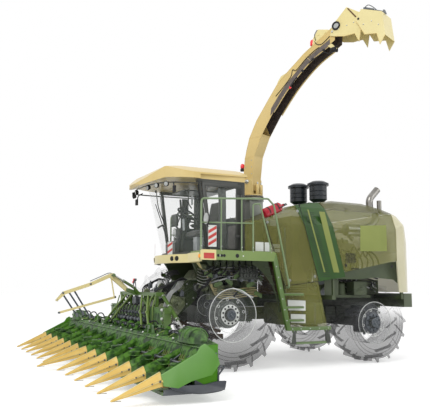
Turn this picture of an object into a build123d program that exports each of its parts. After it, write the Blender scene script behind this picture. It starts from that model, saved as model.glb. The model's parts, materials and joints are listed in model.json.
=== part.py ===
from build123d import *
import math
import os

# Self-propelled forage harvester with its row crop header, in millimetres.
# X points forward, Y to the driver's left and Z up, with the ground at zero.
# Everything is laid out from the centre of the front axle and moved once, on
# export, so that the origin is the middle of the machine's footprint.

# Driving sizes of the whole machine
WHEELBASE = 3170
REAR_REACH = 4350
FRONT_REACH = 3030
GROUND_TO_DECK = 2060
CAB_HALF_WIDTH = 950
BODY_HALF_WIDTH = 1380
PLATFORM_HALF_WIDTH = BODY_HALF_WIDTH + 120
HEADER_WIDTH = 7500
HOOD_TOP = 3140

ORIGIN_SHIFT = (REAR_REACH - FRONT_REACH) / 2
RUN_GAP = 0.3
PANEL_GAP = 8
PANEL = 32

# Wheels: radius to the lug tips, tyre width, rim radius, middle of the tyre
FRONT_TYRE_RADIUS = 950
FRONT_TYRE_WIDTH = 710
FRONT_RIM_RADIUS = 455
FRONT_TYRE_Y = 1065
REAR_TYRE_RADIUS = 760
REAR_TYRE_WIDTH = 580
REAR_RIM_RADIUS = 400
REAR_TYRE_Y = 1060
LUG_HEIGHT = 52
FRONT_LUG_COUNT = 18
REAR_LUG_COUNT = 16
HUB_FACE_FRONT = 1215
HUB_FACE_REAR = 1205
HUB_RADIUS = 150
WHEEL_MOTOR_RADIUS = 148
STEER_Y = 960
KINGPIN_RADIUS = 28

# Chassis rails and axles
RAIL_Y = 330
RAIL_WIDTH = 110
RAIL_BOTTOM = 1070
RAIL_TOP = 1290
RAIL_FRONT = 230
RAIL_REAR = -4060
CHOPPER_HALF = 430
APRON_Y = 1190

# Towing jaw
HITCH_X = -4308
HITCH_RADIUS = 20

# Cooling fans
FAN_RADIUS = 390
FAN_Y = 440
FAN_Z = 2180

# Bodywork: side outline, plan of the tail, shoulder, and where its panels meet
HOOD_SIDE = [(-180, 1400), (-180, 2580), (-668, 2662), (-1348, 2965), (-2360, HOOD_TOP), (-3110, HOOD_TOP - 10),
             (-3500, 3030), (-3800, 2890), (-4010, 2600), (-4200, 2180), (-4200, 1350), (-3000, 1350)]
SHOULDER_Z = 2600
SPLIT_Y = BODY_HALF_WIDTH - 340
QUARTER_PANEL_Y = BODY_HALF_WIDTH - 205
ROOF_EDGE = 2930
REAR_PANEL_EDGE = -3700
BAND_REAR_HEAD = (-2000, 3070)
BAND_REAR_FOOT = (-2405, 1640)
INTAKE_BOX_TOP = HOOD_TOP + 40

# Hinges of the bodywork: barrel and pin radius, barrel length, and their axes
BARREL = 12
BARREL_PIN = 6
BARREL_LENGTH = 40
SIDE_HINGE_Y = BODY_HALF_WIDTH - 110
SIDE_HINGE_Z = 2934
SIDE_HINGES_X = (-2600, -3450)
TAIL_HINGE_X = -3711
TAIL_HINGE_Z = 2950
TAIL_HINGES_Y = (-560, 480)

# Platform and ladder
RIGHT_DECK_FRONT = 0
SILL_TOP = 730
SILL_BOTTOM = 670
LADDER_ARMS = (-1180, -1880)
LADDER_PIVOT_Y = PLATFORM_HALF_WIDTH - 35
LADDER_PIVOT_Z = 650
RAIL_TUBE_Y = PLATFORM_HALF_WIDTH - 25

# Cab
CAB_FLOOR = 70
CAB_REAR_X = -450
PILLAR_FOOT_X = 300
PILLAR_HEAD_X = 480
SCREEN_FOOT_X = 720
SCREEN_HEAD_X = 1070
CAB_EAVES = 3370
ROOF_RISE = 350
GLASS = 12
PILLAR = 60
DOOR_THICKNESS = 46
DOOR_HINGE_X = -364.5
DOOR_HINGE_Y = CAB_HALF_WIDTH + 22
DOOR_HINGES_Z = (GROUND_TO_DECK + 240, CAB_EAVES - 330)
BELT_FRONT = 860
BELT_BOTTOM = 1860
BELT_HEIGHT = 155

# Feeder: its pivot, then each roller's node, x, z and radius over the ribs
LIFT_PIVOT_X = 300
LIFT_PIVOT_Z = 1420
LIFT_PIN = 44
ROLLER_SPOTS = [("feed_roller_upper", 1040, 900, 100), ("feed_roller_lower", 1080, 708, 80)]

# Header: frame, hood, pan and the crop points in their rows
HEADER_BACK_X = 1320
FRAME_DEPTH = 120
HEADER_TOP = 720
PAN_BOTTOM = 120
PAN_TOP = 160
ARM_TOP = 262
HEAD_X = 2200
POINT_TIP_X = 2820
POINT_TIP_Z = 85
ROW_SPACING = 600
CENTRE_SECTION_HALF = 1490
WING_HINGE_Y = 1500
WING_HINGE_Z = 800
WING_PIN = 14
CENTRE_LUGS_X = (1360, 1560)
WING_LUGS_X = (1405, 1520)
LUG_LENGTH = 35
TOWER_HALF = 1000
TOWER_Z = 1300
COLLECTOR_BACK = 1800
COLLECTOR_FRONT = 2220
CHAIN_WIDTH = 40
CHAIN_HEIGHT = 38

# Fold cylinders: the eye beside each wing's lug, as (y, z), and the plane they lie in
FOLD_EYE = (2150, 640)
FOLD_X = 1172
FOLD_GAP = 6

# Crop guide: its pivot as (x, z), half its width, its pin, and the eye of its cylinder
GUIDE_PIVOT = (1480, 1370)
GUIDE_HALF = 30
GUIDE_PIN = 14
GUIDE_EYE = (1755, 1632)

# Spout: the chute in the upright plane it is swung to, and its lift pivot
SPOUT_X = -1140
SPOUT_SWING = 65
SPOUT_BASE_Z = 3300
SPOUT_WIDTH = 300
SPOUT_WALL = 8
SPOUT_BACK = [(-110, SPOUT_BASE_Z + 80), (-100, 3700), (-70, 4050), (40, 4460), (230, 4820), (740, 5490),
              (1340, 5960), (2060, 6390)]
SPOUT_UNDER = [(110, SPOUT_BASE_Z + 80), (120, 3640), (170, 4080), (340, 4470), (640, 4920), (1040, 5390),
               (1500, 5780), (2030, 6070)]
LIFT_Z = 3560
LIFT_AXLE = 30

# Deflectors: their pivots as (x, z) in the spout's plane, pin, sheet and half widths
FLAP_PIVOT = (1995, 6235)
END_PIVOT = (2545, 6330)
FLAP_PIN = 14
FLAP_WALL = 6
FLAP_HALF = SPOUT_WIDTH / 2 + 28
END_HALF = FLAP_HALF + 24


def block(x, y, z):
    """Box between two corners, each given as a (low, high) pair."""
    centre = ((x[0] + x[1]) / 2, (y[0] + y[1]) / 2, (z[0] + z[1]) / 2)
    return Pos(*centre) * Box(x[1] - x[0], y[1] - y[0], z[1] - z[0])


def side_plate(outline, y0, y1):
    """Plate between two y values with its outline as (x, z) points."""
    face = make_face(Polyline([(x, y0, z) for x, z in outline], close=True))
    return extrude(face, amount=abs(y1 - y0), dir=(0, math.copysign(1, y1 - y0), 0))


def top_plate(outline, z0, z1):
    """Plate between two z values with its outline as (x, y) points."""
    face = make_face(Polyline([(x, y, z0) for x, y in outline], close=True))
    return extrude(face, amount=z1 - z0, dir=(0, 0, 1))


def front_plate(outline, x0, x1):
    """Plate between two x values with its outline as (y, z) points."""
    face = make_face(Polyline([(x0, y, z) for y, z in outline], close=True))
    return extrude(face, amount=abs(x1 - x0), dir=(math.copysign(1, x1 - x0), 0, 0))


def rod(start, end, radius):
    """Round bar between two points."""
    start, end = Vector(*start), Vector(*end)
    plane = Plane(origin=start, z_dir=end - start)
    return extrude(plane * Circle(radius), amount=(end - start).length)


def bent_tube(points, bend, radius):
    """Round bar along a route whose corners are rounded."""
    path = FilletPolyline(*points, radius=bend)
    return sweep(Plane(origin=path @ 0, z_dir=path % 0) * Circle(radius), path=path)


def disc(x, y0, y1, z, radius):
    """Cylinder along Y between two y values."""
    return rod((x, y0, z), (x, y1, z), radius)


def mirrored(shape):
    """The same piece on the other side of the machine."""
    return mirror(shape, about=Plane.XZ)


def both_sides(shape):
    return shape + mirrored(shape)


def group(*shapes):
    """Several solids of one node that don't touch each other."""
    solids = []
    for shape in shapes:
        solids += shape.solids()
    return Compound(solids)


# Wheels

def facet_ring(profile, sides):
    """Flat sided ring about the Y axis, from an (r, y) profile."""
    rings = []
    for r, y in profile:
        corners = []
        for i in range(sides):
            turn = 2 * math.pi * (i - 0.5) / sides
            corners.append(Vector(r * math.cos(turn), y, r * math.sin(turn)))
        rings.append(corners)
    faces = []
    for i in range(sides):
        j = (i + 1) % sides
        for low, high in zip(rings, rings[1:] + rings[:1]):
            faces.append(make_face(Polyline([low[i], high[i], high[j], low[j]], close=True)))
    return Solid(Shell(faces))


def tyre(radius, width, rim_radius, lug_count):
    """Tyre about the Y axis through the origin: flat sided carcass with slanted lugs in two rows."""
    sides = 2 * lug_count
    flat = 1 / math.cos(math.pi / sides)
    carcass = radius - LUG_HEIGHT
    middle = (rim_radius + carcass) / 2
    half = width / 2
    bead = 0.40 * width
    shoulder = 0.46 * width
    profile = [(rim_radius * flat, -bead), (middle, -half), (carcass - 20, -shoulder), (carcass - 20, shoulder),
               (middle, half), (rim_radius * flat, bead)]
    lug_width = 0.30 * math.pi * radius / lug_count
    slant = 0.31 * half
    edge = slant + 0.6 * lug_width
    outline = [(-18, -slant - lug_width / 2), (0.45 * width, edge - 1.2 * lug_width), (0.45 * width, edge),
               (-18, lug_width / 2 - slant)]
    root = carcass - 80
    tip = math.sqrt(radius ** 2 - edge ** 2)
    face = make_face(Polyline([(root, y, z) for y, z in outline], close=True))
    lug = extrude(face, amount=tip - root, dir=(1, 0, 0))
    pitch = 360 / sides
    lugs = []
    for i in range(0, sides, 2):
        lugs.append(Rot(0, i * pitch, 0) * lug)
        lugs.append(Rot(0, (i + 1) * pitch, 0) * mirror(lug, about=Plane.XZ))
    stand = 90 + math.degrees(math.atan2(edge, tip))
    return Rot(0, stand, 0) * (facet_ring(profile, sides) + lugs)


def rim(rim_radius, width, disc_y, hub_radius):
    """Rim about the Y axis: barrel, dished disc and hub ring, from one profile."""
    well = rim_radius - 14
    half = 0.40 * width
    profile = [
        (rim_radius, -half), (well - 16, -half), (well - 16, disc_y - 90),
        (0.62 * rim_radius, disc_y), (hub_radius * 0.55, disc_y),
        (hub_radius * 0.55, disc_y + 24), (0.64 * rim_radius, disc_y + 24),
        (well - 16, disc_y - 50), (well - 16, half), (rim_radius, half),
    ]
    return revolve(make_face(Polyline([(r, y, 0) for r, y in profile], close=True)), Axis.Y)


def hub_cap(disc_y, radius, length):
    """Round hub end that stands out of the disc."""
    return disc(0, disc_y + 24, disc_y + 24 + length, 0, radius * 0.62)


# Axles and chassis

def front_axle():
    """Drive axle: gearbox in the middle, tube, and a final drive in each wheel."""
    tube = disc(0, -HUB_FACE_FRONT + 200, HUB_FACE_FRONT - 200, FRONT_TYRE_RADIUS, 105)
    gearbox = block((-160, 160), (-260, 260), (FRONT_TYRE_RADIUS - 190, FRONT_TYRE_RADIUS + 130))
    drive = disc(0, 780, HUB_FACE_FRONT - 60, FRONT_TYRE_RADIUS, 235)
    drive += disc(0, HUB_FACE_FRONT - 60, HUB_FACE_FRONT - RUN_GAP, FRONT_TYRE_RADIUS, HUB_RADIUS)
    saddle = block((-150, 150), (RAIL_Y - 80, RAIL_Y + 80),
                   (FRONT_TYRE_RADIUS, RAIL_BOTTOM - RUN_GAP))
    return gearbox + tube + both_sides(drive) + both_sides(saddle)


def rear_axle():
    """Steered axle beam with a fork and a kingpin at each end."""
    x, z = -WHEELBASE, REAR_TYRE_RADIUS
    beam = block((x - 95, x + 95), (-820, 820), (z - 85, z + 85))
    pivot_head = block((x - 120, x + 120), (-200, 200), (z + 60, RAIL_BOTTOM - RUN_GAP))
    wings = block((x - 120, x + 120), (-RAIL_Y - 60, RAIL_Y + 60), (RAIL_BOTTOM - 60, RAIL_BOTTOM - RUN_GAP))
    ear = block((x - 95, x + 95), (740, STEER_Y + 60), (z - 205, z - 155))
    ear += block((x - 95, x + 95), (740, STEER_Y + 60), (z + 155, z + 205))
    ear += block((x - 95, x + 95), (740, 820), (z - 205, z + 205))
    pin = rod((x, STEER_Y, z - 225), (x, STEER_Y, z + 225), KINGPIN_RADIUS)
    return beam + pivot_head + wings + both_sides(ear + pin)


def knuckle():
    """Left knuckle: the block on the kingpin and the wheel motor that it carries."""
    x, z = -WHEELBASE, REAR_TYRE_RADIUS
    body = block((x - 85, x + 85), (STEER_Y - 80, STEER_Y + 90), (z - 155 + RUN_GAP, z + 155 - RUN_GAP))
    motor = disc(x, STEER_Y + 80, HUB_FACE_REAR - 50, z, WHEEL_MOTOR_RADIUS)
    flange = disc(x, HUB_FACE_REAR - 50, HUB_FACE_REAR - RUN_GAP, z, HUB_RADIUS - 20)
    bore = rod((x, STEER_Y, z - 300), (x, STEER_Y, z + 300), KINGPIN_RADIUS + RUN_GAP)
    arm = block((x + 80, x + 190), (STEER_Y - 20, STEER_Y + 30), (z - 40, z))
    return body + motor + flange + arm - bore


def chassis_frame():
    """Two long rails, cross members and the brackets of the bodywork."""
    rail = block((RAIL_REAR, RAIL_FRONT), (RAIL_Y - RAIL_WIDTH / 2, RAIL_Y + RAIL_WIDTH / 2),
                 (RAIL_BOTTOM, RAIL_TOP))
    frame = both_sides(rail)
    for x in (190, -900, -2050, -2700, -3900):
        frame += block((x - 40, x + 40), (-RAIL_Y, RAIL_Y), (RAIL_BOTTOM + 20, RAIL_TOP - 20))
    for x in (-1070, -2150):
        frame += block((x - 45, x + 45), (-BODY_HALF_WIDTH + PANEL, BODY_HALF_WIDTH - PANEL),
                       (RAIL_TOP - 80, RAIL_TOP))
    cab_post = block((-520, -420), (RAIL_Y - 50, RAIL_Y + 50), (RAIL_TOP, GROUND_TO_DECK - CAB_FLOOR - RUN_GAP))
    frame += both_sides(cab_post)
    pivot_ear = side_plate([(120, RAIL_TOP), (RAIL_FRONT, RAIL_TOP), (LIFT_PIVOT_X + 60, LIFT_PIVOT_Z - 40),
                            (LIFT_PIVOT_X + 60, LIFT_PIVOT_Z + 70), (LIFT_PIVOT_X - 70, LIFT_PIVOT_Z + 70),
                            (120, LIFT_PIVOT_Z)], 450, 490)
    pivot_ear += block((120, RAIL_FRONT), (RAIL_Y, 490), (RAIL_TOP - 60, RAIL_TOP))
    pivot_ear -= disc(LIFT_PIVOT_X, 400, 520, LIFT_PIVOT_Z, LIFT_PIN + RUN_GAP)
    inside = hood_solid(PANEL)
    for x in (-1070, -2150):
        post = block((x - 20, x + 20), (BODY_HALF_WIDTH - PANEL - 40, BODY_HALF_WIDTH - PANEL), (RAIL_TOP - 80, 2520))
        frame += both_sides(post)
    roof_post = block((-2180, -2120), (860, 920), (RAIL_TOP - 5, HOOD_TOP)) & inside
    return frame + both_sides(pivot_ear) + both_sides(roof_post) + both_sides(apron())


def apron():
    """Long plate inside the body over a rear wheel, with the brackets at its two ends."""
    y0, y1 = APRON_Y, APRON_Y + 12
    plate = side_plate([(-2110, 1600), (-2110, 1700), (-2460, 1720), (-3640, 1950), (-3960, 1980), (-3990, 1500),
                        (-3900, 1500), (-3760, 1600), (-3300, 1640), (-2900, 1600)], y0, y1)
    plate += block((-2190, -2110), (y0, BODY_HALF_WIDTH - PANEL - 10), (1600, 1640))
    plate += block((-4000, -3940), (y0 - 30, y1), (RAIL_TOP - 10, 1560))
    return plate + block((-4000, -3940), (RAIL_Y, y1), (RAIL_TOP - 80, RAIL_TOP))


def chopper_housing():
    """Cutter drum housing between the front wheels, round over the drum."""
    outline = [(-420, RAIL_TOP), (100, RAIL_TOP), (190, 1380), (190, 1600), (60, 1760), (-200, 1790),
               (-420, 1700)]
    housing = side_plate(outline, -CHOPPER_HALF, CHOPPER_HALF)
    pulley = revolve(make_face(Polyline([(0, 0, 0), (260, 0, 0), (260, 40, 0), (225, 60, 0), (225, 90, 0),
                                         (260, 110, 0), (260, 130, 0), (0, 130, 0)], close=True)), Axis.Y)
    return housing + Pos(-150, CHOPPER_HALF - 1, 1560) * pulley


def discharge_duct():
    """Duct from the chopper up behind the cab to the ring of the spout."""
    half = 190
    outline = [(-400, RAIL_TOP + 10), (-400, 1680), (SPOUT_X + 150, 2500), (SPOUT_X + 150, 3180),
               (SPOUT_X - 150, 3180), (SPOUT_X - 150, 2300)]
    duct = side_plate(outline, -half, half)
    ring = rod((SPOUT_X, 0, 3170), (SPOUT_X, 0, 3230), 240)
    return duct + ring


def engine_block():
    """Engine as one plain block on the rails."""
    outline = [(-430, RAIL_TOP), (430, RAIL_TOP), (430, 1450), (620, 1560), (620, 2120), (480, 2360),
               (-480, 2360), (-620, 2120), (-620, 1560), (-430, 1450)]
    return front_plate(outline, -3350, -2250)


def cooling_pack():
    """Radiators across the body with a shroud opening for each fan."""
    core = block((-1830, -1640), (-930, 930), (1560, 2800))
    shroud = block((-1640, -1480), (-930, 930), (1560, 2800))
    for y in (FAN_Y, -FAN_Y):
        shroud -= rod((-1660, y, FAN_Z), (-1400, y, FAN_Z), FAN_RADIUS + 25)
    axle = rod((-1645, FAN_Y, FAN_Z), (-1560 - RUN_GAP, FAN_Y, FAN_Z), 50)
    legs = block((-1800, -1500), (RAIL_Y - 55, RAIL_Y + 55), (RAIL_TOP, 1570))
    return core + shroud + both_sides(axle) + both_sides(legs)


def fan(y):
    """Cooling fan about an axis along X, with a hub and broad blades."""
    hub = rod((-1560, y, FAN_Z), (-1490, y, FAN_Z), 95)
    blade = Pos(-1525, y, FAN_Z + FAN_RADIUS / 2 + 20) * Rot(0, 0, 35) * Box(10, 120, FAN_RADIUS - 60)
    blades = []
    for i in range(8):
        blades.append(Pos(0, y, FAN_Z) * Rot(i * 45, 0, 0) * Pos(0, -y, -FAN_Z) * blade)
    return hub + blades


def fuel_tanks():
    """Saddle tank each side, behind the lower panels."""
    tank = block((-1900, -1080), (560, 1330), (760, 1150))
    tank = fillet(tank.edges().filter_by(Axis.X), 60)
    strap = block((-1560, -1500), (RAIL_Y + RAIL_WIDTH / 2, 600), (RAIL_BOTTOM + 10, RAIL_BOTTOM + 80))
    return both_sides(tank + strap)


# Bodywork behind the cab

def hood_solid(inset):
    """Outer form of the bodywork, or the hollow inside it for an inset."""
    side = make_face(Polyline([(x, 0, z) for x, z in HOOD_SIDE], close=True))
    if inset:
        side = offset(side, amount=-inset, kind=Kind.INTERSECTION)
    half = BODY_HALF_WIDTH - inset
    solid = extrude(side, amount=half, both=True)
    top = HOOD_TOP + 60 - inset
    arch = [(half, 1200), (half, SHOULDER_Z), (half - 130, SHOULDER_Z + 340), (half - 420, top),
            (-half + 420, top), (-half + 130, SHOULDER_Z + 340), (-half, SHOULDER_Z), (-half, 1200)]
    solid = solid & front_plate(arch, 0, -5000)
    left = [(0, half), (REAR_PANEL_EDGE, half), (-3950, half - 50), (-4120, half - 180), (-4210, half - 330)]
    right = [(x, -y) for x, y in left[::-1]]
    solid = solid & top_plate(left + right, 1000, 4000)
    if inset:
        floor = [(-180 - inset, 1200), (-180 - inset, 1600), (-4200 + inset, 1600), (-4200 + inset, 1200)]
        solid += side_plate(floor, -half, half) & top_plate(left + right, 1000, 4000)
    return solid


def hood_shell():
    return hood_solid(0) - hood_solid(PANEL)


def panel(shell, outline, left=True):
    """Part of the shell's side inside an (x, z) outline."""
    y0, y1 = (SPLIT_Y, BODY_HALF_WIDTH + 5) if left else (-BODY_HALF_WIDTH - 5, -SPLIT_Y)
    return shell & side_plate(outline, y0, y1)


def side_panel_front(shell, left=True):
    g = PANEL_GAP / 2
    outline = [(-600, 3200), (-1360 + g, 3200), (-1360 + g, 2990), (-1785 + g, 1560),
               (-1045, 1460), (-835, 2040), (-600, 2700)]
    foot = GROUND_TO_DECK - 10 + RUN_GAP
    quarter = [(-230, 3200), (-600 + 2 * g, 3200), (-600 + 2 * g, 2700), (-831 + 2 * g, foot), (-230, foot)]
    corner = shell & side_plate(quarter, QUARTER_PANEL_Y, BODY_HALF_WIDTH + 5)
    return group(panel(shell, outline, left), corner if left else mirrored(corner))


def intake_band(shell, left=True):
    outline = [(-1360, 3200), (-1360, 2990), (-1790, 1545), BAND_REAR_FOOT, BAND_REAR_HEAD,
               (-2000, 3200)]
    band = panel(shell, outline, left)
    return band


def side_panel_rear(shell):
    g = PANEL_GAP
    slope = (BAND_REAR_FOOT[0] - BAND_REAR_HEAD[0]) / (BAND_REAR_HEAD[1] - BAND_REAR_FOOT[1])
    corner_x = BAND_REAR_HEAD[0] + slope * (BAND_REAR_HEAD[1] - ROOF_EDGE + 90) - g
    low_x = BAND_REAR_HEAD[0] + slope * (BAND_REAR_HEAD[1] - 1730) - g
    outline = [(corner_x, ROOF_EDGE), (corner_x, ROOF_EDGE - 90), (low_x, 1730), (REAR_PANEL_EDGE + g, 1975),
               (REAR_PANEL_EDGE + g, ROOF_EDGE)]
    return panel(shell, outline)


def hood_tail(shell):
    """Rear end of the bodywork, one piece round the back, hinged at its top."""
    outline = [(REAR_PANEL_EDGE, ROOF_EDGE), (REAR_PANEL_EDGE, 1960), (REAR_PANEL_EDGE - 40, 1340), (-4400, 1340),
               (-4400, ROOF_EDGE)]
    return shell & side_plate(outline, -BODY_HALF_WIDTH - 5, BODY_HALF_WIDTH + 5)


def hood_top(shell):
    """Roof of the bodywork between the side panels, down to the front bulkhead."""
    front = block((-2100, -600), (-SPLIT_Y + PANEL_GAP, SPLIT_Y - PANEL_GAP), (2600, 3300))
    rear = block((-4400, -2045), (-2000, 2000), (ROOF_EDGE + PANEL_GAP, 3300))
    roof = shell & (front + rear)
    well = block((SPOUT_X - 180, SPOUT_X + 180), (-220, 220), (2500, 3300))
    return roof - well


def barrels(start, axis, fixed):
    """Hinge barrel from a start point along an axis: the fixed one with the pin, or the bored one on top."""
    start, axis = Vector(*start), Vector(*axis)
    if fixed:
        pin = rod(start, start + axis * (2 * BARREL_LENGTH), BARREL_PIN)
        return rod(start, start + axis * BARREL_LENGTH, BARREL) + pin
    low = start + axis * (BARREL_LENGTH + 1)
    return rod(low, low + axis * BARREL_LENGTH, BARREL)


def side_hinges(fixed):
    """Barrels and lugs along the upper edge of the rear side panel: the roof's, or the left panel's."""
    y, z = SIDE_HINGE_Y, SIDE_HINGE_Z
    result = None
    for x in SIDE_HINGES_X:
        if fixed:
            lug = front_plate([(y - 4, z), (y + 12, z), (y - 50, z + 62), (y - 90, z + 40)], x, x + BARREL_LENGTH)
            one = lug + barrels((x, y, z), (1, 0, 0), True)
            one = both_sides(one)
        else:
            low = x + BARREL_LENGTH + 1
            lug = front_plate([(y - 4, z), (y + 12, z), (y + 16, z - 54), (y - 10, z - 54)], low, low + BARREL_LENGTH)
            bore = rod((x, y, z), (x + 100, y, z), BARREL_PIN + RUN_GAP)
            one = lug + barrels((x, y, z), (1, 0, 0), False) - bore
        result = one if result is None else result + one
    return result


def tail_hinges(fixed):
    """Barrels and lugs across the upper edge of the tail: the roof's, or the tail's."""
    x, z = TAIL_HINGE_X, TAIL_HINGE_Z
    result = None
    for y in TAIL_HINGES_Y:
        if fixed:
            lug = side_plate([(x, z - 11), (x, z + 12), (x + 71, z + 35), (x + 81, z)], y, y + BARREL_LENGTH)
            one = lug + barrels((x, y, z), (0, 1, 0), True)
        else:
            low = y + BARREL_LENGTH + 1
            lug = side_plate([(x, z + 12), (x - 79, z - 26), (x - 76, z - 76), (x - 19, z - 35), (x + 6, z - 8)],
                             low, low + BARREL_LENGTH)
            bore = rod((x, y, z), (x, y + 100, z), BARREL_PIN + RUN_GAP)
            one = lug + barrels((x, y, z), (0, 1, 0), False) - bore
        result = one if result is None else result + one
    return result


def lower_panel():
    """Lower side cover under the front panel, left side."""
    outline = [(-1040, 1450), (-1770, 1545), (-1960, 720), (-1040, 690)]
    plate = side_plate(outline, BODY_HALF_WIDTH - PANEL, BODY_HALF_WIDTH)
    inner = [(-1090, 1395), (-1730, 1480), (-1890, 770), (-1090, 745)]
    recess = side_plate(inner, BODY_HALF_WIDTH - 12, BODY_HALF_WIDTH + 1)
    return plate - recess


def intake_box():
    """Box on the roof that carries the two precleaners."""
    box = block((-2900, -2260), (-540, 420), (HOOD_TOP - 60, INTAKE_BOX_TOP))
    return box - hood_solid(0)


def precleaner(x, y):
    """Air precleaner: neck, ribbed drum and a wide cap."""
    z = INTAKE_BOX_TOP + RUN_GAP
    profile = [(0, 0), (75, 0), (75, 25), (186, 105), (186, 175), (178, 182), (186, 189), (186, 270), (178, 277),
               (186, 284), (186, 400), (228, 408), (228, 455), (140, 500), (0, 504)]
    body = revolve(make_face(Polyline([(r, 0, h) for r, h in profile], close=True)), Axis.Z)
    return Pos(x, y, z) * body


def exhaust():
    """Exhaust stack, bent back at its top, beside a short vent."""
    pipe = bent_tube([(-3480, 860, 2940), (-3470, 860, 3270), (-3690, 860, 3490)], 180, 74)
    vent = rod((-3600, 1010, 2900), (-3600, 1010, 3230), 48)
    body = hood_solid(0)
    return group(pipe - body, vent - body)


def extinguisher():
    """Fire extinguisher lying on the front slope of the roof."""
    profile = [(0, -210), (70, -210), (90, -185), (90, 150), (60, 190), (25, 205), (25, 250), (0, 250)]
    bottle = revolve(make_face(Polyline([(r, h, 0) for r, h in profile], close=True)), Axis.Y)
    (x0, z0), (x1, z1) = HOOD_SIDE[2], HOOD_SIDE[3]
    lean = math.atan2(z1 - z0, x0 - x1)
    along = 0.34
    lift = 90 + RUN_GAP
    x = x0 + along * (x1 - x0) + lift * math.sin(lean)
    z = z0 + along * (z1 - z0) + lift * math.cos(lean)
    return Pos(x, BODY_HALF_WIDTH - 120, z) * Rot(0, math.degrees(lean), 0) * Rot(0, 0, 90) * bottle


def rear_bumper():
    """Tail box across the back with the towing jaw."""
    box = block((-4275, RAIL_REAR), (-1150, 1150), (1050, 1325))
    jaw = block((-REAR_REACH, -4100), (-90, 90), (870, 1060))
    jaw -= block((-4400, -4190), (-200, 200), (920, 1000))
    jaw -= rod((HITCH_X, 0, 800), (HITCH_X, 0, 1100), HITCH_RADIUS)
    return box + jaw


# Platform, ladder and rails

def platform():
    """Deck round the cab with its outer beam, and the post and sill behind the wheel."""
    sides = []
    for front, beam_front in ((640, 700), (RIGHT_DECK_FRONT, RIGHT_DECK_FRONT + 60)):
        deck = block((-760, front), (CAB_HALF_WIDTH + RUN_GAP, PLATFORM_HALF_WIDTH),
                     (GROUND_TO_DECK - 45, GROUND_TO_DECK - 10))
        beam = block((-760, beam_front), (PLATFORM_HALF_WIDTH - 40, PLATFORM_HALF_WIDTH), (1890, GROUND_TO_DECK))
        sides.append(deck + beam)
    return sides[0] + mirrored(sides[1])


def side_frame():
    """L shaped frame: the leaning post behind the front wheel and the sill."""
    outline = [(-700, 2040), (-790, 2040), (-1080, SILL_TOP), (-1960, SILL_TOP), (-1960, SILL_BOTTOM),
               (-1010, SILL_BOTTOM)]
    y0 = PLATFORM_HALF_WIDTH - 60
    frame = side_plate(outline, y0, PLATFORM_HALF_WIDTH)
    for x in LADDER_ARMS:
        for side in (-1, 1):
            ear_x = x + side * 34
            frame += block((ear_x - 5, ear_x + 5), (LADDER_PIVOT_Y - 15, LADDER_PIVOT_Y + 15),
                           (LADDER_PIVOT_Z - 15, SILL_BOTTOM))
        frame += rod((x - 39, LADDER_PIVOT_Y, LADDER_PIVOT_Z), (x + 39, LADDER_PIVOT_Y, LADDER_PIVOT_Z), 8)
    return frame


def steps():
    """Fixed steps of the access ladder, left side."""
    lean = (1080 - 790) / (2040 - SILL_TOP)
    treads = []
    for z in (830, 1060, 1290):
        x = -1070 + (z - SILL_TOP) * lean
        treads.append(block((-1370, x), (BODY_HALF_WIDTH + 5, PLATFORM_HALF_WIDTH), (z, z + 35)))
    return treads


def ladder():
    """Lower ladder that folds up from the sill: two arms and a step."""
    parts = block((-1930, -1130), (LADDER_PIVOT_Y - 25, LADDER_PIVOT_Y + 25), (430, 465))
    for x in LADDER_ARMS:
        arm = block((x - 25, x + 25), (LADDER_PIVOT_Y - 10, LADDER_PIVOT_Y + 10), (440, LADDER_PIVOT_Z + 9))
        arm -= rod((x - 60, LADDER_PIVOT_Y, LADDER_PIVOT_Z), (x + 60, LADDER_PIVOT_Y, LADDER_PIVOT_Z), 8 + RUN_GAP)
        parts += arm
    return parts


def railings():
    """Handrails: the left one with its posts, mid rail and gate loop, and the right one."""
    y = RAIL_TUBE_Y
    foot = GROUND_TO_DECK + RUN_GAP
    side = BODY_HALF_WIDTH + RUN_GAP
    main = bent_tube([(680, y, foot), (680, y, 2930), (-640, y, 3010), (-760, y, 2900), (-1080, y, 1430),
                      (-1080, side, 1430)], 60, 17)
    loop = bent_tube([(-330, y, foot), (-330, y, 2890), (-470, y, 2910), (-680, y, foot + 120), (-680, y, foot)],
                     40, 14)
    mid_rail = rod((680, y, 2520), (-330, y, 2550), 12)
    posts = rod((300, y, foot), (300, y, 2955), 13) + rod((-100, y, foot), (-100, y, 2979), 13)
    front = RIGHT_DECK_FRONT + 40
    right = bent_tube([(front, y, foot), (front, y, 2950), (-640, y, 3010), (-760, y, 2900), (-1080, y, 1430),
                       (-1080, side, 1430)], 60, 17)
    right += rod((front, y, 2540), (-820, y, 2540), 12)
    return group(main + loop + mid_rail + posts, mirrored(right))


# Cab

def cab_floor():
    """Floor with its bowed front edge and the raised rear step."""
    outline = Polyline([(CAB_REAR_X, -CAB_HALF_WIDTH, 0), (PILLAR_FOOT_X, -CAB_HALF_WIDTH, 0)])
    front = ThreePointArc((PILLAR_FOOT_X, -CAB_HALF_WIDTH, 0), (SCREEN_FOOT_X, 0, 0),
                          (PILLAR_FOOT_X, CAB_HALF_WIDTH, 0))
    back = Polyline([(PILLAR_FOOT_X, CAB_HALF_WIDTH, 0), (CAB_REAR_X, CAB_HALF_WIDTH, 0),
                     (CAB_REAR_X, -CAB_HALF_WIDTH, 0)])
    face = make_face([outline, front, back])
    return Pos(0, 0, GROUND_TO_DECK - CAB_FLOOR) * extrude(face, amount=CAB_FLOOR, dir=(0, 0, 1))


def bow(x_side, x_front, half, z, depth=200):
    """Face between a bowed front edge and a straight line behind it."""
    arc = ThreePointArc((x_side, -half, z), (x_front, 0, z), (x_side, half, z))
    rest = Polyline([(x_side, half, z), (x_side - depth, half, z), (x_side - depth, -half, z),
                     (x_side, -half, z)])
    return make_face([arc, rest])


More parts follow.
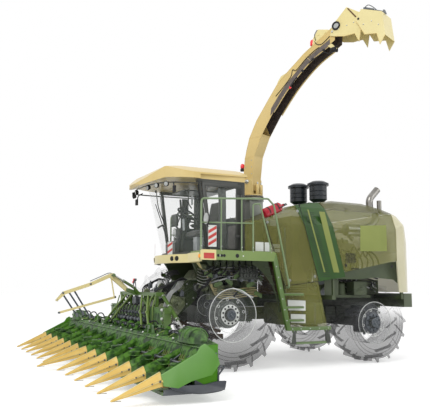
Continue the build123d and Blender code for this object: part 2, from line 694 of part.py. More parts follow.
def windscreen():
    """Bowed front glass, wider at the top than at the foot."""
    half = CAB_HALF_WIDTH - PILLAR / 2
    foot, head = GROUND_TO_DECK, CAB_EAVES
    outer = loft([bow(PILLAR_FOOT_X + 30, SCREEN_FOOT_X, half, foot),
                  bow(PILLAR_HEAD_X + 30, SCREEN_HEAD_X, half, head)], ruled=True)
    inner = loft([bow(PILLAR_FOOT_X + 30 - GLASS, SCREEN_FOOT_X - GLASS, half + 1, foot, 300),
                  bow(PILLAR_HEAD_X + 30 - GLASS, SCREEN_HEAD_X - GLASS, half + 1, head, 300)], ruled=True)
    return outer - inner


def cab_frame():
    """Pillars, door sill and the hoop under the roof."""
    post = rod((PILLAR_FOOT_X, CAB_HALF_WIDTH - 30, GROUND_TO_DECK),
               (PILLAR_HEAD_X, CAB_HALF_WIDTH - 30, CAB_EAVES), PILLAR / 2)
    rear = block((CAB_REAR_X, CAB_REAR_X + 80), (CAB_HALF_WIDTH - 80, CAB_HALF_WIDTH), (GROUND_TO_DECK, CAB_EAVES))
    post = post & block((0, 1000), (0, CAB_HALF_WIDTH), (GROUND_TO_DECK, CAB_EAVES))
    frame = both_sides(post + rear)
    hoop = block((CAB_REAR_X, PILLAR_HEAD_X + 40), (CAB_HALF_WIDTH - 70, CAB_HALF_WIDTH),
                 (CAB_EAVES - 60, CAB_EAVES))
    frame += both_sides(hoop)
    frame += block((CAB_REAR_X, CAB_REAR_X + 60), (-CAB_HALF_WIDTH, CAB_HALF_WIDTH), (CAB_EAVES - 60, CAB_EAVES))
    frame += block((CAB_REAR_X, CAB_REAR_X + 40), (-CAB_HALF_WIDTH + 80, CAB_HALF_WIDTH - 80),
                   (GROUND_TO_DECK, GROUND_TO_DECK + 600))
    return frame


def side_window_outline(inset):
    """Outline of a side opening between the pillars, as (x, z) points."""
    slope = (PILLAR_HEAD_X - PILLAR_FOOT_X) / (CAB_EAVES - GROUND_TO_DECK)
    low, high = GROUND_TO_DECK + inset, CAB_EAVES - 60 - inset
    front = PILLAR_FOOT_X - 40 - inset
    return [(CAB_REAR_X + 85 + inset, low), (front + slope * inset, low),
            (front + slope * (high - GROUND_TO_DECK), high), (CAB_REAR_X + 85 + inset, high)]


def cab_door():
    """Left door: a frame as thick as the door with its window cut out."""
    y0 = CAB_HALF_WIDTH - DOOR_THICKNESS
    leaf = side_plate(side_window_outline(6), y0, CAB_HALF_WIDTH)
    window = side_plate(side_window_outline(66), y0 - 5, CAB_HALF_WIDTH + 5)
    return leaf - window


def door_barrels(fixed):
    """Door hinges: the barrels and pins on the rear pillar, or the bored barrels with the door's straps."""
    x, y = DOOR_HINGE_X, DOOR_HINGE_Y
    result = None
    for z in DOOR_HINGES_Z:
        if fixed:
            lug = block((x - 50, x - 7), (CAB_HALF_WIDTH, y), (z, z + BARREL_LENGTH))
            one = lug + barrels((x, y, z), (0, 0, 1), True)
        else:
            low = z + BARREL_LENGTH + 1
            span = (low, low + BARREL_LENGTH)
            strap = block((x, x + 110), (y - 12, y), span) + block((x + 16, x + 110), (CAB_HALF_WIDTH - 1, y - 11), span)
            bore = rod((x, y, z), (x, y, z + 100), BARREL_PIN + RUN_GAP)
            one = strap + barrels((x, y, z), (0, 0, 1), False) - bore
        result = one if result is None else result + one
    return result


def door_glass():
    y = CAB_HALF_WIDTH - DOOR_THICKNESS / 2
    return side_plate(side_window_outline(66.3), y - GLASS / 2, y + GLASS / 2)


def side_glass():
    """Fixed right hand window."""
    y = -CAB_HALF_WIDTH + 25
    return side_plate(side_window_outline(0.3), y - GLASS / 2, y + GLASS / 2)


def rear_glass():
    return block((CAB_REAR_X + 15, CAB_REAR_X + 15 + GLASS), (-CAB_HALF_WIDTH + 80.3, CAB_HALF_WIDTH - 80.3),
                 (GROUND_TO_DECK + 600.3, CAB_EAVES - 60.3))


def cab_roof():
    """Roof: crowned across, with a pointed visor over the windscreen."""
    e = CAB_EAVES
    side = [(1430, e - 50), (1380, e - 100), (1080, e), (480, e), (480, e + 80), (-500, e + 100),
            (-500, e + 270), (-300, e + ROOF_RISE), (470, e + ROOF_RISE - 20), (1090, e + 200)]
    body = side_plate(side, -1030, 1030)
    plan = make_face([
        Polyline([(600, 1010, e - 170), (-500, 960, e - 170), (-500, -960, e - 170), (600, -1010, e - 170)]),
        ThreePointArc((600, -1010, e - 170), (1430, 0, e - 170), (600, 1010, e - 170)),
    ])
    body = body & extrude(plan, amount=700, dir=(0, 0, 1))
    cross = make_face([
        Polyline([(600, 1040, e + 90), (600, 1040, e - 170), (600, -1040, e - 170), (600, -1040, e + 90)]),
        ThreePointArc((600, -1040, e + 90), (600, 0, e + ROOF_RISE), (600, 1040, e + 90)),
    ])
    crown = extrude(cross, amount=1200, both=True)
    body = body & crown
    seat = block((CAB_REAR_X, 470), (-CAB_HALF_WIDTH, CAB_HALF_WIDTH), (e + RUN_GAP, e + 110))
    return body + seat


def seat():
    """Driver's seat on its pedestal."""
    base = block((-190, 130), (-160, 160), (GROUND_TO_DECK, GROUND_TO_DECK + 330))
    cushion = block((-240, 240), (-250, 250), (GROUND_TO_DECK + 330, GROUND_TO_DECK + 470))
    back = side_plate([(-250, GROUND_TO_DECK + 400), (-130, GROUND_TO_DECK + 400),
                       (-230, GROUND_TO_DECK + 1080), (-330, GROUND_TO_DECK + 1080)], -240, 240)
    return base + fillet(cushion.edges().filter_by(Axis.Z), 60) + back


def steering_column():
    """Column with its wheel."""
    column = rod((430, 0, GROUND_TO_DECK + 12), (312, 0, GROUND_TO_DECK + 690), 45)
    column += block((370, 500), (-80, 80), (GROUND_TO_DECK, GROUND_TO_DECK + 30))
    grip = [(174, 0), (182, -14), (198, -14), (206, 0), (198, 14), (182, 14)]
    wheel = Pos(310, 0, GROUND_TO_DECK + 700) * Rot(0, -25, 0) * Rot(90, 0, 0) * facet_ring(grip, 24)
    spoke = Pos(310, 0, GROUND_TO_DECK + 700) * Rot(0, -25, 0) * (Box(40, 380, 20) + Cylinder(45, 60))
    return column + wheel + spoke


def console():
    """Armrest console and terminal to the right of the seat."""
    body = block((-150, 330), (-480, -300), (GROUND_TO_DECK, GROUND_TO_DECK + 520))
    screen = block((360, 400), (-560, -300), (GROUND_TO_DECK + 560, GROUND_TO_DECK + 800))
    arm = rod((300, -420, GROUND_TO_DECK + 500), (380, -430, GROUND_TO_DECK + 600), 18)
    return body + screen + arm


def fascia():
    """Yellow belt under the windscreen: a bowed front, and its left end that meets the platform's beam."""
    z0 = BELT_BOTTOM
    half = CAB_HALF_WIDTH
    belt = extrude(bow(500, BELT_FRONT, half, z0, 60), amount=BELT_HEIGHT, dir=(0, 0, 1))
    belt -= extrude(bow(460, BELT_FRONT - 60, half + 1, z0 - 1, 200), amount=BELT_HEIGHT + 2, dir=(0, 0, 1))
    end = top_plate([(480, half - 30), (700, half + 10), (700, PLATFORM_HALF_WIDTH - 45), (650, PLATFORM_HALF_WIDTH - 45),
                     (650, half + 50), (480, half + 20)], z0, z0 + BELT_HEIGHT)
    top = GROUND_TO_DECK - CAB_FLOOR - RUN_GAP
    bracket = block((240, BELT_FRONT - 80), (480, 520), (top - 60, top))
    return belt + end + both_sides(bracket)


# Feeder and header

def feeder_house():
    """Feed channel from the header up to the chopper, with its pivot pins."""
    front = HEADER_BACK_X - FRAME_DEPTH - RUN_GAP
    outline = [(front, 420), (front, 1040), (420, 1560), (LIFT_PIVOT_X - 60, 1560),
               (LIFT_PIVOT_X - 60, 1300), (300, 1180)]
    outer = side_plate(outline, -400, 400)
    hollow = [(1500, 240), (1500, 810), (500, 1490), (200, 1490), (200, 1335)]
    outer -= side_plate(hollow, -370, 370)
    pin = disc(LIFT_PIVOT_X, 400, 500, LIFT_PIVOT_Z, LIFT_PIN)
    return outer + both_sides(pin)


def feed_roller(x, z, radius):
    """Ribbed feed roller across the feeder's mouth."""
    drum = disc(x, -350, 350, z, radius - 18)
    ribs = []
    for i in range(8):
        rib = block((x - 8, x + 8), (-350, 350), (z, z + radius))
        ribs.append(Pos(x, 0, z) * Rot(0, i * 45, 0) * Pos(-x, 0, -z) * rib)
    journal = disc(x, -369.7, 369.7, z, 30)
    return drum + ribs + journal


def hood_outline(thick):
    """Side outline of the sheet hood over the header's drives, or of the space under it."""
    x, z = HEADER_BACK_X, HEADER_TOP
    outer = [(x, z), (x + 290, z - 20), (x + 370, z - 130), (x + 460, z - 390), (x + 460, z - 490)]
    if not thick:
        return outer
    inner = [(x + 420, z - 490), (x + 420, z - 400), (x + 320, z - 170), (x + 260, z - 70), (x, z - 60)]
    return outer + inner


def ridge(y):
    """Row cover behind one point: a tapering ridge from the point's head up to the hood."""
    x0, x1 = HEAD_X - RUN_GAP, HEADER_BACK_X + 330
    z = HEADER_TOP - 180
    head = make_face(Polyline([(x0, y - 104, 250), (x0, y + 104, 250), (x0, y + 90, 322), (x0, y, 394),
                               (x0, y - 90, 322)], close=True))
    tail = make_face(Polyline([(x1, y - 50, z), (x1, y + 50, z), (x1, y + 45, z + 50), (x1, y, z + 85),
                               (x1, y - 45, z + 50)], close=True))
    return loft([head, tail], ruled=True)


def header_deck(y0, y1, rows):
    """One header section between two y values: pan, back wall, hood, end plates and a ridge per row."""
    deck = side_plate(hood_outline(True), y0, y1)
    deck += block((HEADER_BACK_X, HEAD_X), (y0, y1), (PAN_BOTTOM, PAN_TOP))
    deck += block((HEADER_BACK_X, HEADER_BACK_X + 40), (y0, y1), (PAN_BOTTOM, HEADER_TOP - 20))
    end = hood_outline(False) + [(HEADER_BACK_X + 560, 215), (HEAD_X - 10, 190), (HEAD_X - 10, PAN_BOTTOM),
                                 (HEADER_BACK_X, PAN_BOTTOM)]
    deck += side_plate(end, y0, y0 + 12) + side_plate(end, y1 - 12, y1)
    return deck + [ridge(y) for y in rows]


def guide_ears():
    """Pair of ears with a pin that carries the crop guide, and the guide's cylinder beside them."""
    x, z = GUIDE_PIVOT
    back = HEADER_BACK_X - FRAME_DEPTH / 2
    outline = [(back - 25, TOWER_Z - 20), (back + 20, TOWER_Z - 30), (x + 28, z - 20), (x + 25, z + 28),
               (x - 30, z + 28), (back, TOWER_Z + 30)]
    ears = disc(x, -GUIDE_HALF - 13, GUIDE_HALF + 13, z, GUIDE_PIN)
    for y in (-GUIDE_HALF - 13, GUIDE_HALF + 1):
        ears += side_plate(outline, y, y + 12)
    y = GUIDE_HALF + FOLD_GAP + 26
    foot = (HEADER_BACK_X + 50, 1415)
    bracket = [(back - 25, TOWER_Z - 20), (back + 20, TOWER_Z - 30), (foot[0] + 30, foot[1]),
               (foot[0], foot[1] + 30), (back, TOWER_Z + 30)]
    ears += side_plate(bracket, y - 12, y + 12)
    middle = (foot[0] + 0.55 * (GUIDE_EYE[0] - foot[0]), foot[1] + 0.55 * (GUIDE_EYE[1] - foot[1]))
    ears += rod((foot[0], y, foot[1]), (middle[0], y, middle[1]), 26)
    ears += rod((foot[0], y, foot[1]), (GUIDE_EYE[0], y, GUIDE_EYE[1]), 14)
    return ears + disc(GUIDE_EYE[0], y - 26, y + 26, GUIDE_EYE[1], 28)


def fold_cylinder():
    """Cylinder that folds the left wing, from the tower to its open eye beside the wing's lug."""
    foot = (TOWER_HALF - 20, TOWER_Z)
    along = (FOLD_EYE[0] - foot[0], FOLD_EYE[1] - foot[1])
    middle = (foot[0] + 0.6 * along[0], foot[1] + 0.6 * along[1])
    ear = block((FOLD_X - 22, HEADER_BACK_X - FRAME_DEPTH / 2), (foot[0] - 40, foot[0] + 20), (TOWER_Z - 35, TOWER_Z + 35))
    cylinder = rod((FOLD_X, foot[0], foot[1]), (FOLD_X, middle[0], middle[1]), 30)
    cylinder += rod((FOLD_X, foot[0], foot[1]), (FOLD_X, FOLD_EYE[0], FOLD_EYE[1]), 17)
    eye = rod((FOLD_X - 22, FOLD_EYE[0], FOLD_EYE[1]), (FOLD_X + 22, FOLD_EYE[0], FOLD_EYE[1]), 34)
    return ear + cylinder + eye


def fold_lug():
    """Lug on the back of the left wing, beside the eye of its cylinder."""
    y, z = FOLD_EYE
    x0 = FOLD_X + 22 + FOLD_GAP
    plate = front_plate([(y - 45, z - 70), (y + 45, z - 70), (y + 45, z + 20), (y, z + 45), (y - 45, z + 20)], x0, x0 + 20)
    return plate + block((x0 + 19, HEADER_BACK_X + 1), (y - 14, y + 14), (z - 70, z + 20))


def centre_lugs():
    """Hinge lugs and pin at the left end of the centre section."""
    y, z = WING_HINGE_Y, WING_HINGE_Z
    outline = [(y - 12, 700), (y - 75, 700), (y - 30, z + 28), (y + 28, z + 28), (y + 28, z - 28), (y, z - 35)]
    lugs = rod((CENTRE_LUGS_X[0], y, z), (CENTRE_LUGS_X[1] + LUG_LENGTH, y, z), WING_PIN)
    for x in CENTRE_LUGS_X:
        lugs += front_plate(outline, x, x + LUG_LENGTH)
    return lugs


def wing_lugs():
    """Hinge lugs at the inner end of the left wing."""
    y, z = WING_HINGE_Y, WING_HINGE_Z
    outline = [(y + 12, 690), (y + 75, 690), (y + 30, z + 28), (y - 28, z + 28), (y - 28, z - 28), (y, z - 35)]
    lugs = None
    for x in WING_LUGS_X:
        lug = front_plate(outline, x, x + LUG_LENGTH)
        lugs = lug if lugs is None else lugs + lug
    return lugs - rod((CENTRE_LUGS_X[0], y, z), (CENTRE_LUGS_X[1] + LUG_LENGTH, y, z), WING_PIN + RUN_GAP)


def header_frame():
    """Rear beam, tower and braces of the header's centre section."""
    x0, x1 = HEADER_BACK_X - FRAME_DEPTH, HEADER_BACK_X
    beam = block((x0, x1), (-1480, 1480), (150, 290))
    upper = block((x0, x1), (-1480, 1480), (990, 1090))
    for y in (-1430, -460, 460, 1430):
        beam += block((x0, x1), (y - 40, y + 40), (200, 1050))
    x = (x0 + x1) / 2
    tower = block((x - 32, x + 32), (-TOWER_HALF, TOWER_HALF), (TOWER_Z - 32, TOWER_Z + 32))
    for y in (-TOWER_HALF + 40, -380, 380, TOWER_HALF - 40):
        tower += block((x - 25, x + 25), (y - 25, y + 25), (1040, TOWER_Z))
    brace = rod((x1 - 28, 380, 1190), (x1 - 28, 1373, 770), 24)
    brace += rod((x1 - 28, TOWER_HALF - 60, TOWER_Z), (x1 - 28, 480, 1040), 20)
    return beam + upper + tower + both_sides(brace) + guide_ears() + both_sides(fold_cylinder())


def point(y):
    """One crop point: a broad tongue of sheet that narrows to its tip, on the arm that carries it."""
    extra = 210 if y == 0 else 0
    tip_x = POINT_TIP_X + extra
    head = make_face(Polyline([(HEAD_X, y - 102, 232), (HEAD_X, y + 102, 232), (HEAD_X, y + 88, 318),
                               (HEAD_X, y, 390), (HEAD_X, y - 88, 318)], close=True))
    low = POINT_TIP_Z - 10
    tip = make_face(Polyline([(tip_x, y - 12, low), (tip_x, y + 12, low), (tip_x, y + 11, low + 12),
                              (tip_x, y, low + 22), (tip_x, y - 11, low + 12)], close=True))
    body = loft([head, tip], ruled=True)
    arm = block((HEAD_X - 150, HEAD_X + 10), (y - 20, y + 20), (200, 240))
    return body + arm


def wing_rows():
    """Places of the points on the left wing, on from the centre section's rows."""
    rows = []
    y = 3 * ROW_SPACING
    while y < HEADER_WIDTH / 2 - 140:
        rows.append(y)
        y += ROW_SPACING
    return rows


def cut_corners(x0, x1, y0, y1, corner):
    """Outline of a rectangle with its four corners cut off."""
    return [(x0, y0 + corner), (x0 + corner, y0), (x1 - corner, y0), (x1, y0 + corner), (x1, y1 - corner),
            (x1 - corner, y1), (x0 + corner, y1), (x0, y1 - corner)]


def collector(y0, y1):
    """Collector loop of one section: a flat endless chain with pointed tines along its front run."""
    x0, x1 = COLLECTOR_BACK, COLLECTOR_FRONT
    z0 = PAN_TOP + RUN_GAP
    z1 = z0 + CHAIN_HEIGHT
    corner = 0.3 * (x1 - x0)
    w = CHAIN_WIDTH
    loop = top_plate(cut_corners(x0, x1, y0, y1, corner), z0, z1)
    loop -= top_plate(cut_corners(x0 + w, x1 - w, y0 + w, y1 - w, corner - 0.6 * w), z0 - 1, z1 + 1)
    run = y1 - y0 - 2 * corner
    count = round(run / 110)
    tines = []
    for i in range(count):
        y = y0 + corner + (i + 0.5) * run / count
        tines.append(top_plate([(x1 - 10, y - 20), (x1 + 75, y), (x1 - 10, y + 20)], z0, z1))
    return loop + tines


def divider():
    """Outer side panel of the left wing, and the low crop arm that hangs below it on a bent rod."""
    y = HEADER_WIDTH / 2
    outline = [(2235, 372), (2200, 240), (2013, 205), (1844, 277), (1560, 338), (1449, 469), (1477, 559),
               (1540, 640), (1653, 723), (1714, 690), (1761, 612), (2018, 480)]
    plate = side_plate(outline, y - 40, y)
    arm = side_plate([(2140, 240), (2022, 232), (1656, 226), (1467, 256), (1353, 253), (1376, 146), (1720, 121),
                      (2011, 176)], y - 44, y - 4)
    hook = bent_tube([(1455, y - 30, 200), (1455, y - 30, 330), (1368, y - 30, 430), (1368, y - 90, 430)], 25, 11)
    return plate + arm + hook


def wing_deck():
    """Left wing: its deck with the back drawn in towards the outer end, and the side panel."""
    y0, y1 = WING_HINGE_Y + 10, HEADER_WIDTH / 2 - 40
    x = HEADER_BACK_X
    taper = y1 - 560
    deck = header_deck(y0, y1, wing_rows())
    deck -= top_plate([(x - 10, taper), (x, taper), (x + 140, y1 + 1), (x - 10, y1 + 1)], 0, 1000)
    deck += top_plate([(x, taper), (x + 40, taper), (x + 180, y1), (x + 140, y1)], PAN_BOTTOM, HEADER_TOP - 40)
    return deck + divider()


def crop_guide():
    """Yellow crop guide: cranked boom, lower boom and hanger, with the bars that lean the crop forward."""
    half = GUIDE_HALF
    x, z = GUIDE_PIVOT
    crank = side_plate([(x - 34, z + 10), (x + 20, z - 30), (1812, 1590), (1815, 1655), (1745, 1668)], -half, half)
    crank += disc(x, -half, half, z, GUIDE_PIN + 20)
    boom = side_plate([(1745, 1668), (1815, 1655), (2160, 1497), (2640, 1335), (2762, 1195), (2738, 1165),
                       (2606, 1285), (2140, 1440), (1790, 1595)], -24, 24)
    lower = side_plate([(1690, 1262), (1682, 1222), (2690, 955), (2702, 990)], -18, 18)
    guide = crank + boom + lower + rod((1785, 0, 1600), (1715, 0, 1240), 12)
    for top, foot in (((2640, 1290), (2365, 894)), ((2540, 1330), (2260, 927)), ((2450, 1360), (2135, 873))):
        guide += rod((top[0], 0, top[1]), (foot[0], 0, foot[1]), 15)
    guide += disc(2745, -60, 60, 1185, 12)
    return guide - disc(x, -half - 5, half + 5, z, GUIDE_PIN + RUN_GAP)


# Spout

def swung(shape):
    """Turn a piece from the X plane of the spout to its place at rest."""
    return Pos(SPOUT_X, 0, 0) * Rot(0, 0, 180 - SPOUT_SWING) * shape


def spout_turret():
    """Ring and side cheeks that carry the chute's lift pivot."""
    ring = rod((0, 0, 3230 + RUN_GAP), (0, 0, 3300), 225)
    cheek = side_plate([(-140, 3290), (150, 3290), (120, 3620), (-110, 3620)], SPOUT_WIDTH / 2 + 3,
                       SPOUT_WIDTH / 2 + 23)
    bore = disc(0, -400, 400, LIFT_Z, LIFT_AXLE + RUN_GAP)
    return swung(ring + both_sides(cheek) - bore)


def spout_chute():
    """Chute: a closed box at its foot, open below along its outer half."""
    half = SPOUT_WIDTH / 2
    outline = SPOUT_BACK + SPOUT_UNDER[::-1]
    body = side_plate(outline, -half, half)
    hollow_back = [(x + SPOUT_WALL * 1.3, z - SPOUT_WALL * 0.4) for x, z in SPOUT_BACK]
    hollow_under = [(x - SPOUT_WALL, z + SPOUT_WALL * 0.6) for x, z in SPOUT_UNDER]
    hollow_under = hollow_under[:4] + [(x + 60, z - 80) for x, z in SPOUT_UNDER[4:]]
    hollow = hollow_back + hollow_under[::-1]
    hollow = [(hollow[0][0], hollow[0][1] - 40)] + hollow[1:-1] + [(hollow[-1][0], hollow[-1][1] - 40)]
    body -= side_plate(hollow, -half + SPOUT_WALL, half - SPOUT_WALL)
    pins = both_sides(disc(0, half - 1, half + 25, LIFT_Z, LIFT_AXLE))
    return swung(body + pins + flap_pins(FLAP_PIVOT, half, 34))


def deflector(outline, back_line, half, pivot):
    """Deflector flap: two side plates on their pivot and the bent back plate between them."""
    body = side_plate(outline, -half, -half + FLAP_WALL) + side_plate(outline, half - FLAP_WALL, half)
    under = [(x - FLAP_WALL * 0.6, z - FLAP_WALL) for x, z in back_line]
    body += side_plate(back_line + under[::-1], -half, half)
    return body - disc(pivot[0], -half - 50, half + 50, pivot[1], FLAP_PIN + RUN_GAP)


def flap_pins(pivot, half, reach):
    """Pins that stand out of both sides at a pivot."""
    return both_sides(disc(pivot[0], half - FLAP_WALL / 2, half + reach, pivot[1], FLAP_PIN))


def deflector_inner():
    back = [(2085, 6440), (2300, 6640), (2570, 6460)]
    outline = [(1950, 6170), (1990, 6340), (2085, 6440), (2300, 6640), (2570, 6460), (2620, 6330), (2540, 5900),
               (2450, 6080), (2250, 6080), (2050, 6130)]
    flap = deflector(outline, back, FLAP_HALF, FLAP_PIVOT)
    return swung(flap + flap_pins(END_PIVOT, FLAP_HALF, 28))


def deflector_outer():
    back = [(2602, 6506), (3000, 6350), (3055, 5900)]
    outline = [(2500, 6290), (2530, 6400), (2602, 6506), (3000, 6350), (3055, 5900), (2950, 5740), (2890, 5960),
               (2660, 6000)]
    return swung(deflector(outline, back, END_HALF, END_PIVOT))


# All nodes, by name

def build_nodes():
    shell = hood_shell()
    nodes = {}
    tyre_front = tyre(FRONT_TYRE_RADIUS, FRONT_TYRE_WIDTH, FRONT_RIM_RADIUS, FRONT_LUG_COUNT)
    tyre_rear = tyre(REAR_TYRE_RADIUS, REAR_TYRE_WIDTH, REAR_RIM_RADIUS, REAR_LUG_COUNT)
    rim_front = rim(FRONT_RIM_RADIUS, FRONT_TYRE_WIDTH, HUB_FACE_FRONT - FRONT_TYRE_Y, HUB_RADIUS)
    rim_front += hub_cap(HUB_FACE_FRONT - FRONT_TYRE_Y, HUB_RADIUS, 55)
    rim_rear = rim(REAR_RIM_RADIUS, REAR_TYRE_WIDTH, HUB_FACE_REAR - REAR_TYRE_Y, HUB_RADIUS)
    rim_rear += hub_cap(HUB_FACE_REAR - REAR_TYRE_Y, HUB_RADIUS, 60)
    wheel_sets = [
        ("front", tyre_front, rim_front, 0, FRONT_TYRE_Y, FRONT_TYRE_RADIUS),
        ("rear", tyre_rear, rim_rear, -WHEELBASE, REAR_TYRE_Y, REAR_TYRE_RADIUS),
    ]
    for name, tyre_shape, rim_shape, x, y, radius in wheel_sets:
        left_tyre = Pos(x, y, radius) * tyre_shape
        left_rim = Pos(x, y, radius) * rim_shape
        nodes["tyre_%s_left" % name] = left_tyre
        nodes["tyre_%s_right" % name] = mirrored(left_tyre)
        nodes["rim_%s_left" % name] = left_rim
        nodes["rim_%s_right" % name] = mirrored(left_rim)
    left_knuckle = knuckle()
    nodes["front_axle"] = front_axle()
    nodes["rear_axle"] = rear_axle()
    nodes["knuckle_left"] = left_knuckle
    nodes["knuckle_right"] = mirrored(left_knuckle)
    nodes["chassis_frame"] = chassis_frame()
    nodes["crop_channel"] = chopper_housing() + discharge_duct()
    nodes["engine_block"] = engine_block()
    nodes["cooling_pack"] = cooling_pack()
    nodes["fan_left"] = fan(FAN_Y)
    nodes["fan_right"] = fan(-FAN_Y)
    nodes["fuel_tanks"] = fuel_tanks()
    nodes["side_panels_front"] = group(side_panel_front(shell), side_panel_front(shell, False),
                                       both_sides(lower_panel()))
    nodes["intake_bands"] = group(intake_band(shell), intake_band(shell, False), intake_box())
    left_hatch = side_panel_rear(shell) + side_hinges(False)
    nodes["side_panel_rear_left"] = left_hatch
    nodes["side_panel_rear_right"] = mirrored(left_hatch)
    nodes["hood_tail"] = hood_tail(shell) + tail_hinges(False)
    nodes["hood_top"] = hood_top(shell) + side_hinges(True) + tail_hinges(True)
    nodes["precleaners"] = group(precleaner(-2660, 185), precleaner(-2485, -300))
    nodes["exhaust"] = exhaust()
    nodes["extinguisher"] = extinguisher()
    nodes["rear_bumper"] = rear_bumper()
    nodes["platform"] = platform() + both_sides(side_frame()) + steps()
    nodes["ladder"] = ladder()
    nodes["railings"] = railings()
    nodes["cab_frame"] = cab_floor() + cab_frame() + door_barrels(True)
    nodes["cab_roof"] = cab_roof()
    nodes["cab_glass"] = group(windscreen() - nodes["cab_frame"], side_glass(), rear_glass())
    nodes["cab_door"] = cab_door() + door_barrels(False)
    nodes["door_glass"] = door_glass()
    nodes["seat"] = seat()
    nodes["controls"] = group(steering_column(), console())
    nodes["fascia"] = fascia()
    nodes["feeder_house"] = feeder_house()
    for name, x, z, radius in ROLLER_SPOTS:
        nodes[name] = feed_roller(x, z, radius)
    nodes["header_frame"] = header_frame()
    centre_rows = [i * ROW_SPACING for i in (-2, -1, 0, 1, 2)]
    centre_deck = header_deck(-CENTRE_SECTION_HALF, CENTRE_SECTION_HALF, centre_rows)
    nodes["header_deck"] = centre_deck + both_sides(centre_lugs())
    left_deck = wing_deck() + wing_lugs() + fold_lug()
    nodes["wing_deck_left"] = left_deck
    nodes["wing_deck_right"] = mirrored(left_deck)
    nodes["points_centre"] = group(*[point(y) for y in centre_rows])
    left_points = group(*[point(y) for y in wing_rows()])
    nodes["points_left"] = left_points
    nodes["points_right"] = mirrored(left_points)
    nodes["collector_centre"] = collector(-CENTRE_SECTION_HALF + 30, CENTRE_SECTION_HALF - 30)
    left_collector = collector(WING_HINGE_Y + 40, HEADER_WIDTH / 2 - 120)
    nodes["collector_left"] = left_collector
    nodes["collector_right"] = mirrored(left_collector)
    nodes["crop_guide"] = crop_guide()
    nodes["spout_turret"] = spout_turret()
    nodes["spout_chute"] = spout_chute()
    nodes["deflector_inner"] = deflector_inner()
    nodes["deflector_outer"] = deflector_outer()
    return nodes


def main():
    os.makedirs("parts", exist_ok=True)
    for name, shape in build_nodes().items():
        export_step(Pos(ORIGIN_SHIFT, 0, 0) * shape, os.path.join("parts", name + ".step"))


main()
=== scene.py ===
import json
import math

import bmesh
import bpy
from mathutils import Matrix, Vector


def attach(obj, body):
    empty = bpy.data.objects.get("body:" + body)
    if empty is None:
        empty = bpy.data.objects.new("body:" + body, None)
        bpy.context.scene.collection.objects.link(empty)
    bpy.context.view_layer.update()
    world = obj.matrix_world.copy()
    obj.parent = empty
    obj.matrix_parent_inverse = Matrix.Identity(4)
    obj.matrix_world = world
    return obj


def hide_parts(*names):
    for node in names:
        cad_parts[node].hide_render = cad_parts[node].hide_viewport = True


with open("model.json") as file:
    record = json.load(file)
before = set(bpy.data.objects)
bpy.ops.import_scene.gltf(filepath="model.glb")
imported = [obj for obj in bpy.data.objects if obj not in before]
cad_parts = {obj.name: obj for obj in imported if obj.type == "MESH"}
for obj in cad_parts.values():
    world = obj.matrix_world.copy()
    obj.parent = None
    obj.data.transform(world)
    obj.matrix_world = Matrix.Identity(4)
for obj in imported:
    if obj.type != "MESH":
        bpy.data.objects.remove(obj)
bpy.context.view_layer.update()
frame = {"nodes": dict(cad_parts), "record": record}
nodes = frame["nodes"]

# The layout is in millimetres from the front axle's middle, as in the part's source
SHIFT = 660
SPOUT_X = -1140
REAR_X = -3170
PANEL_Y = 1380
ROW = 600
SPOUT_TURN = math.radians(115)
X, Y, Z = Vector((1, 0, 0)), Vector((0, 1, 0)), Vector((0, 0, 1))


def P(x, y, z):
    """Point in metres in the row frame from a layout point in millimetres."""
    return Vector(((x + SHIFT) / 1000, y / 1000, z / 1000))


def S(l, y, z):
    """The same for a point of the spout: reach, sideways place and height."""
    c, s = math.cos(SPOUT_TURN), math.sin(SPOUT_TURN)
    return P(SPOUT_X + l * c - y * s, l * s + y * c, z)


def bend(y, pairs):
    """Points of the spout in the plane of one sideways place, from (reach, height) pairs."""
    return [S(l, y, z) for l, z in pairs]


def over(y):
    """Vector across the spout."""
    return S(0, y, 0) - S(0, 0, 0)


class Side:
    """One side of the machine: called as P is, with the sideways place counted outward."""

    def __init__(self, name, side):
        self.name, self.side, self.out = name, side, Y * side

    def __call__(self, x, y, z):
        return P(x, self.side * y, z)


LEFT, RIGHT = Side("left", 1), Side("right", -1)
SIDES = (RIGHT, LEFT)


# Materials

def add_node(tree, kind, feeds=(), **values):
    """New shader node: values set its sockets, named with _ for a space, and feeds link others to them."""
    made = tree.nodes.new("ShaderNode" + kind)
    for socket, value in values.items():
        made.inputs[socket.replace("_", " ")].default_value = value
    for socket, source in feeds:
        tree.links.new(source, made.inputs[socket])
    return made


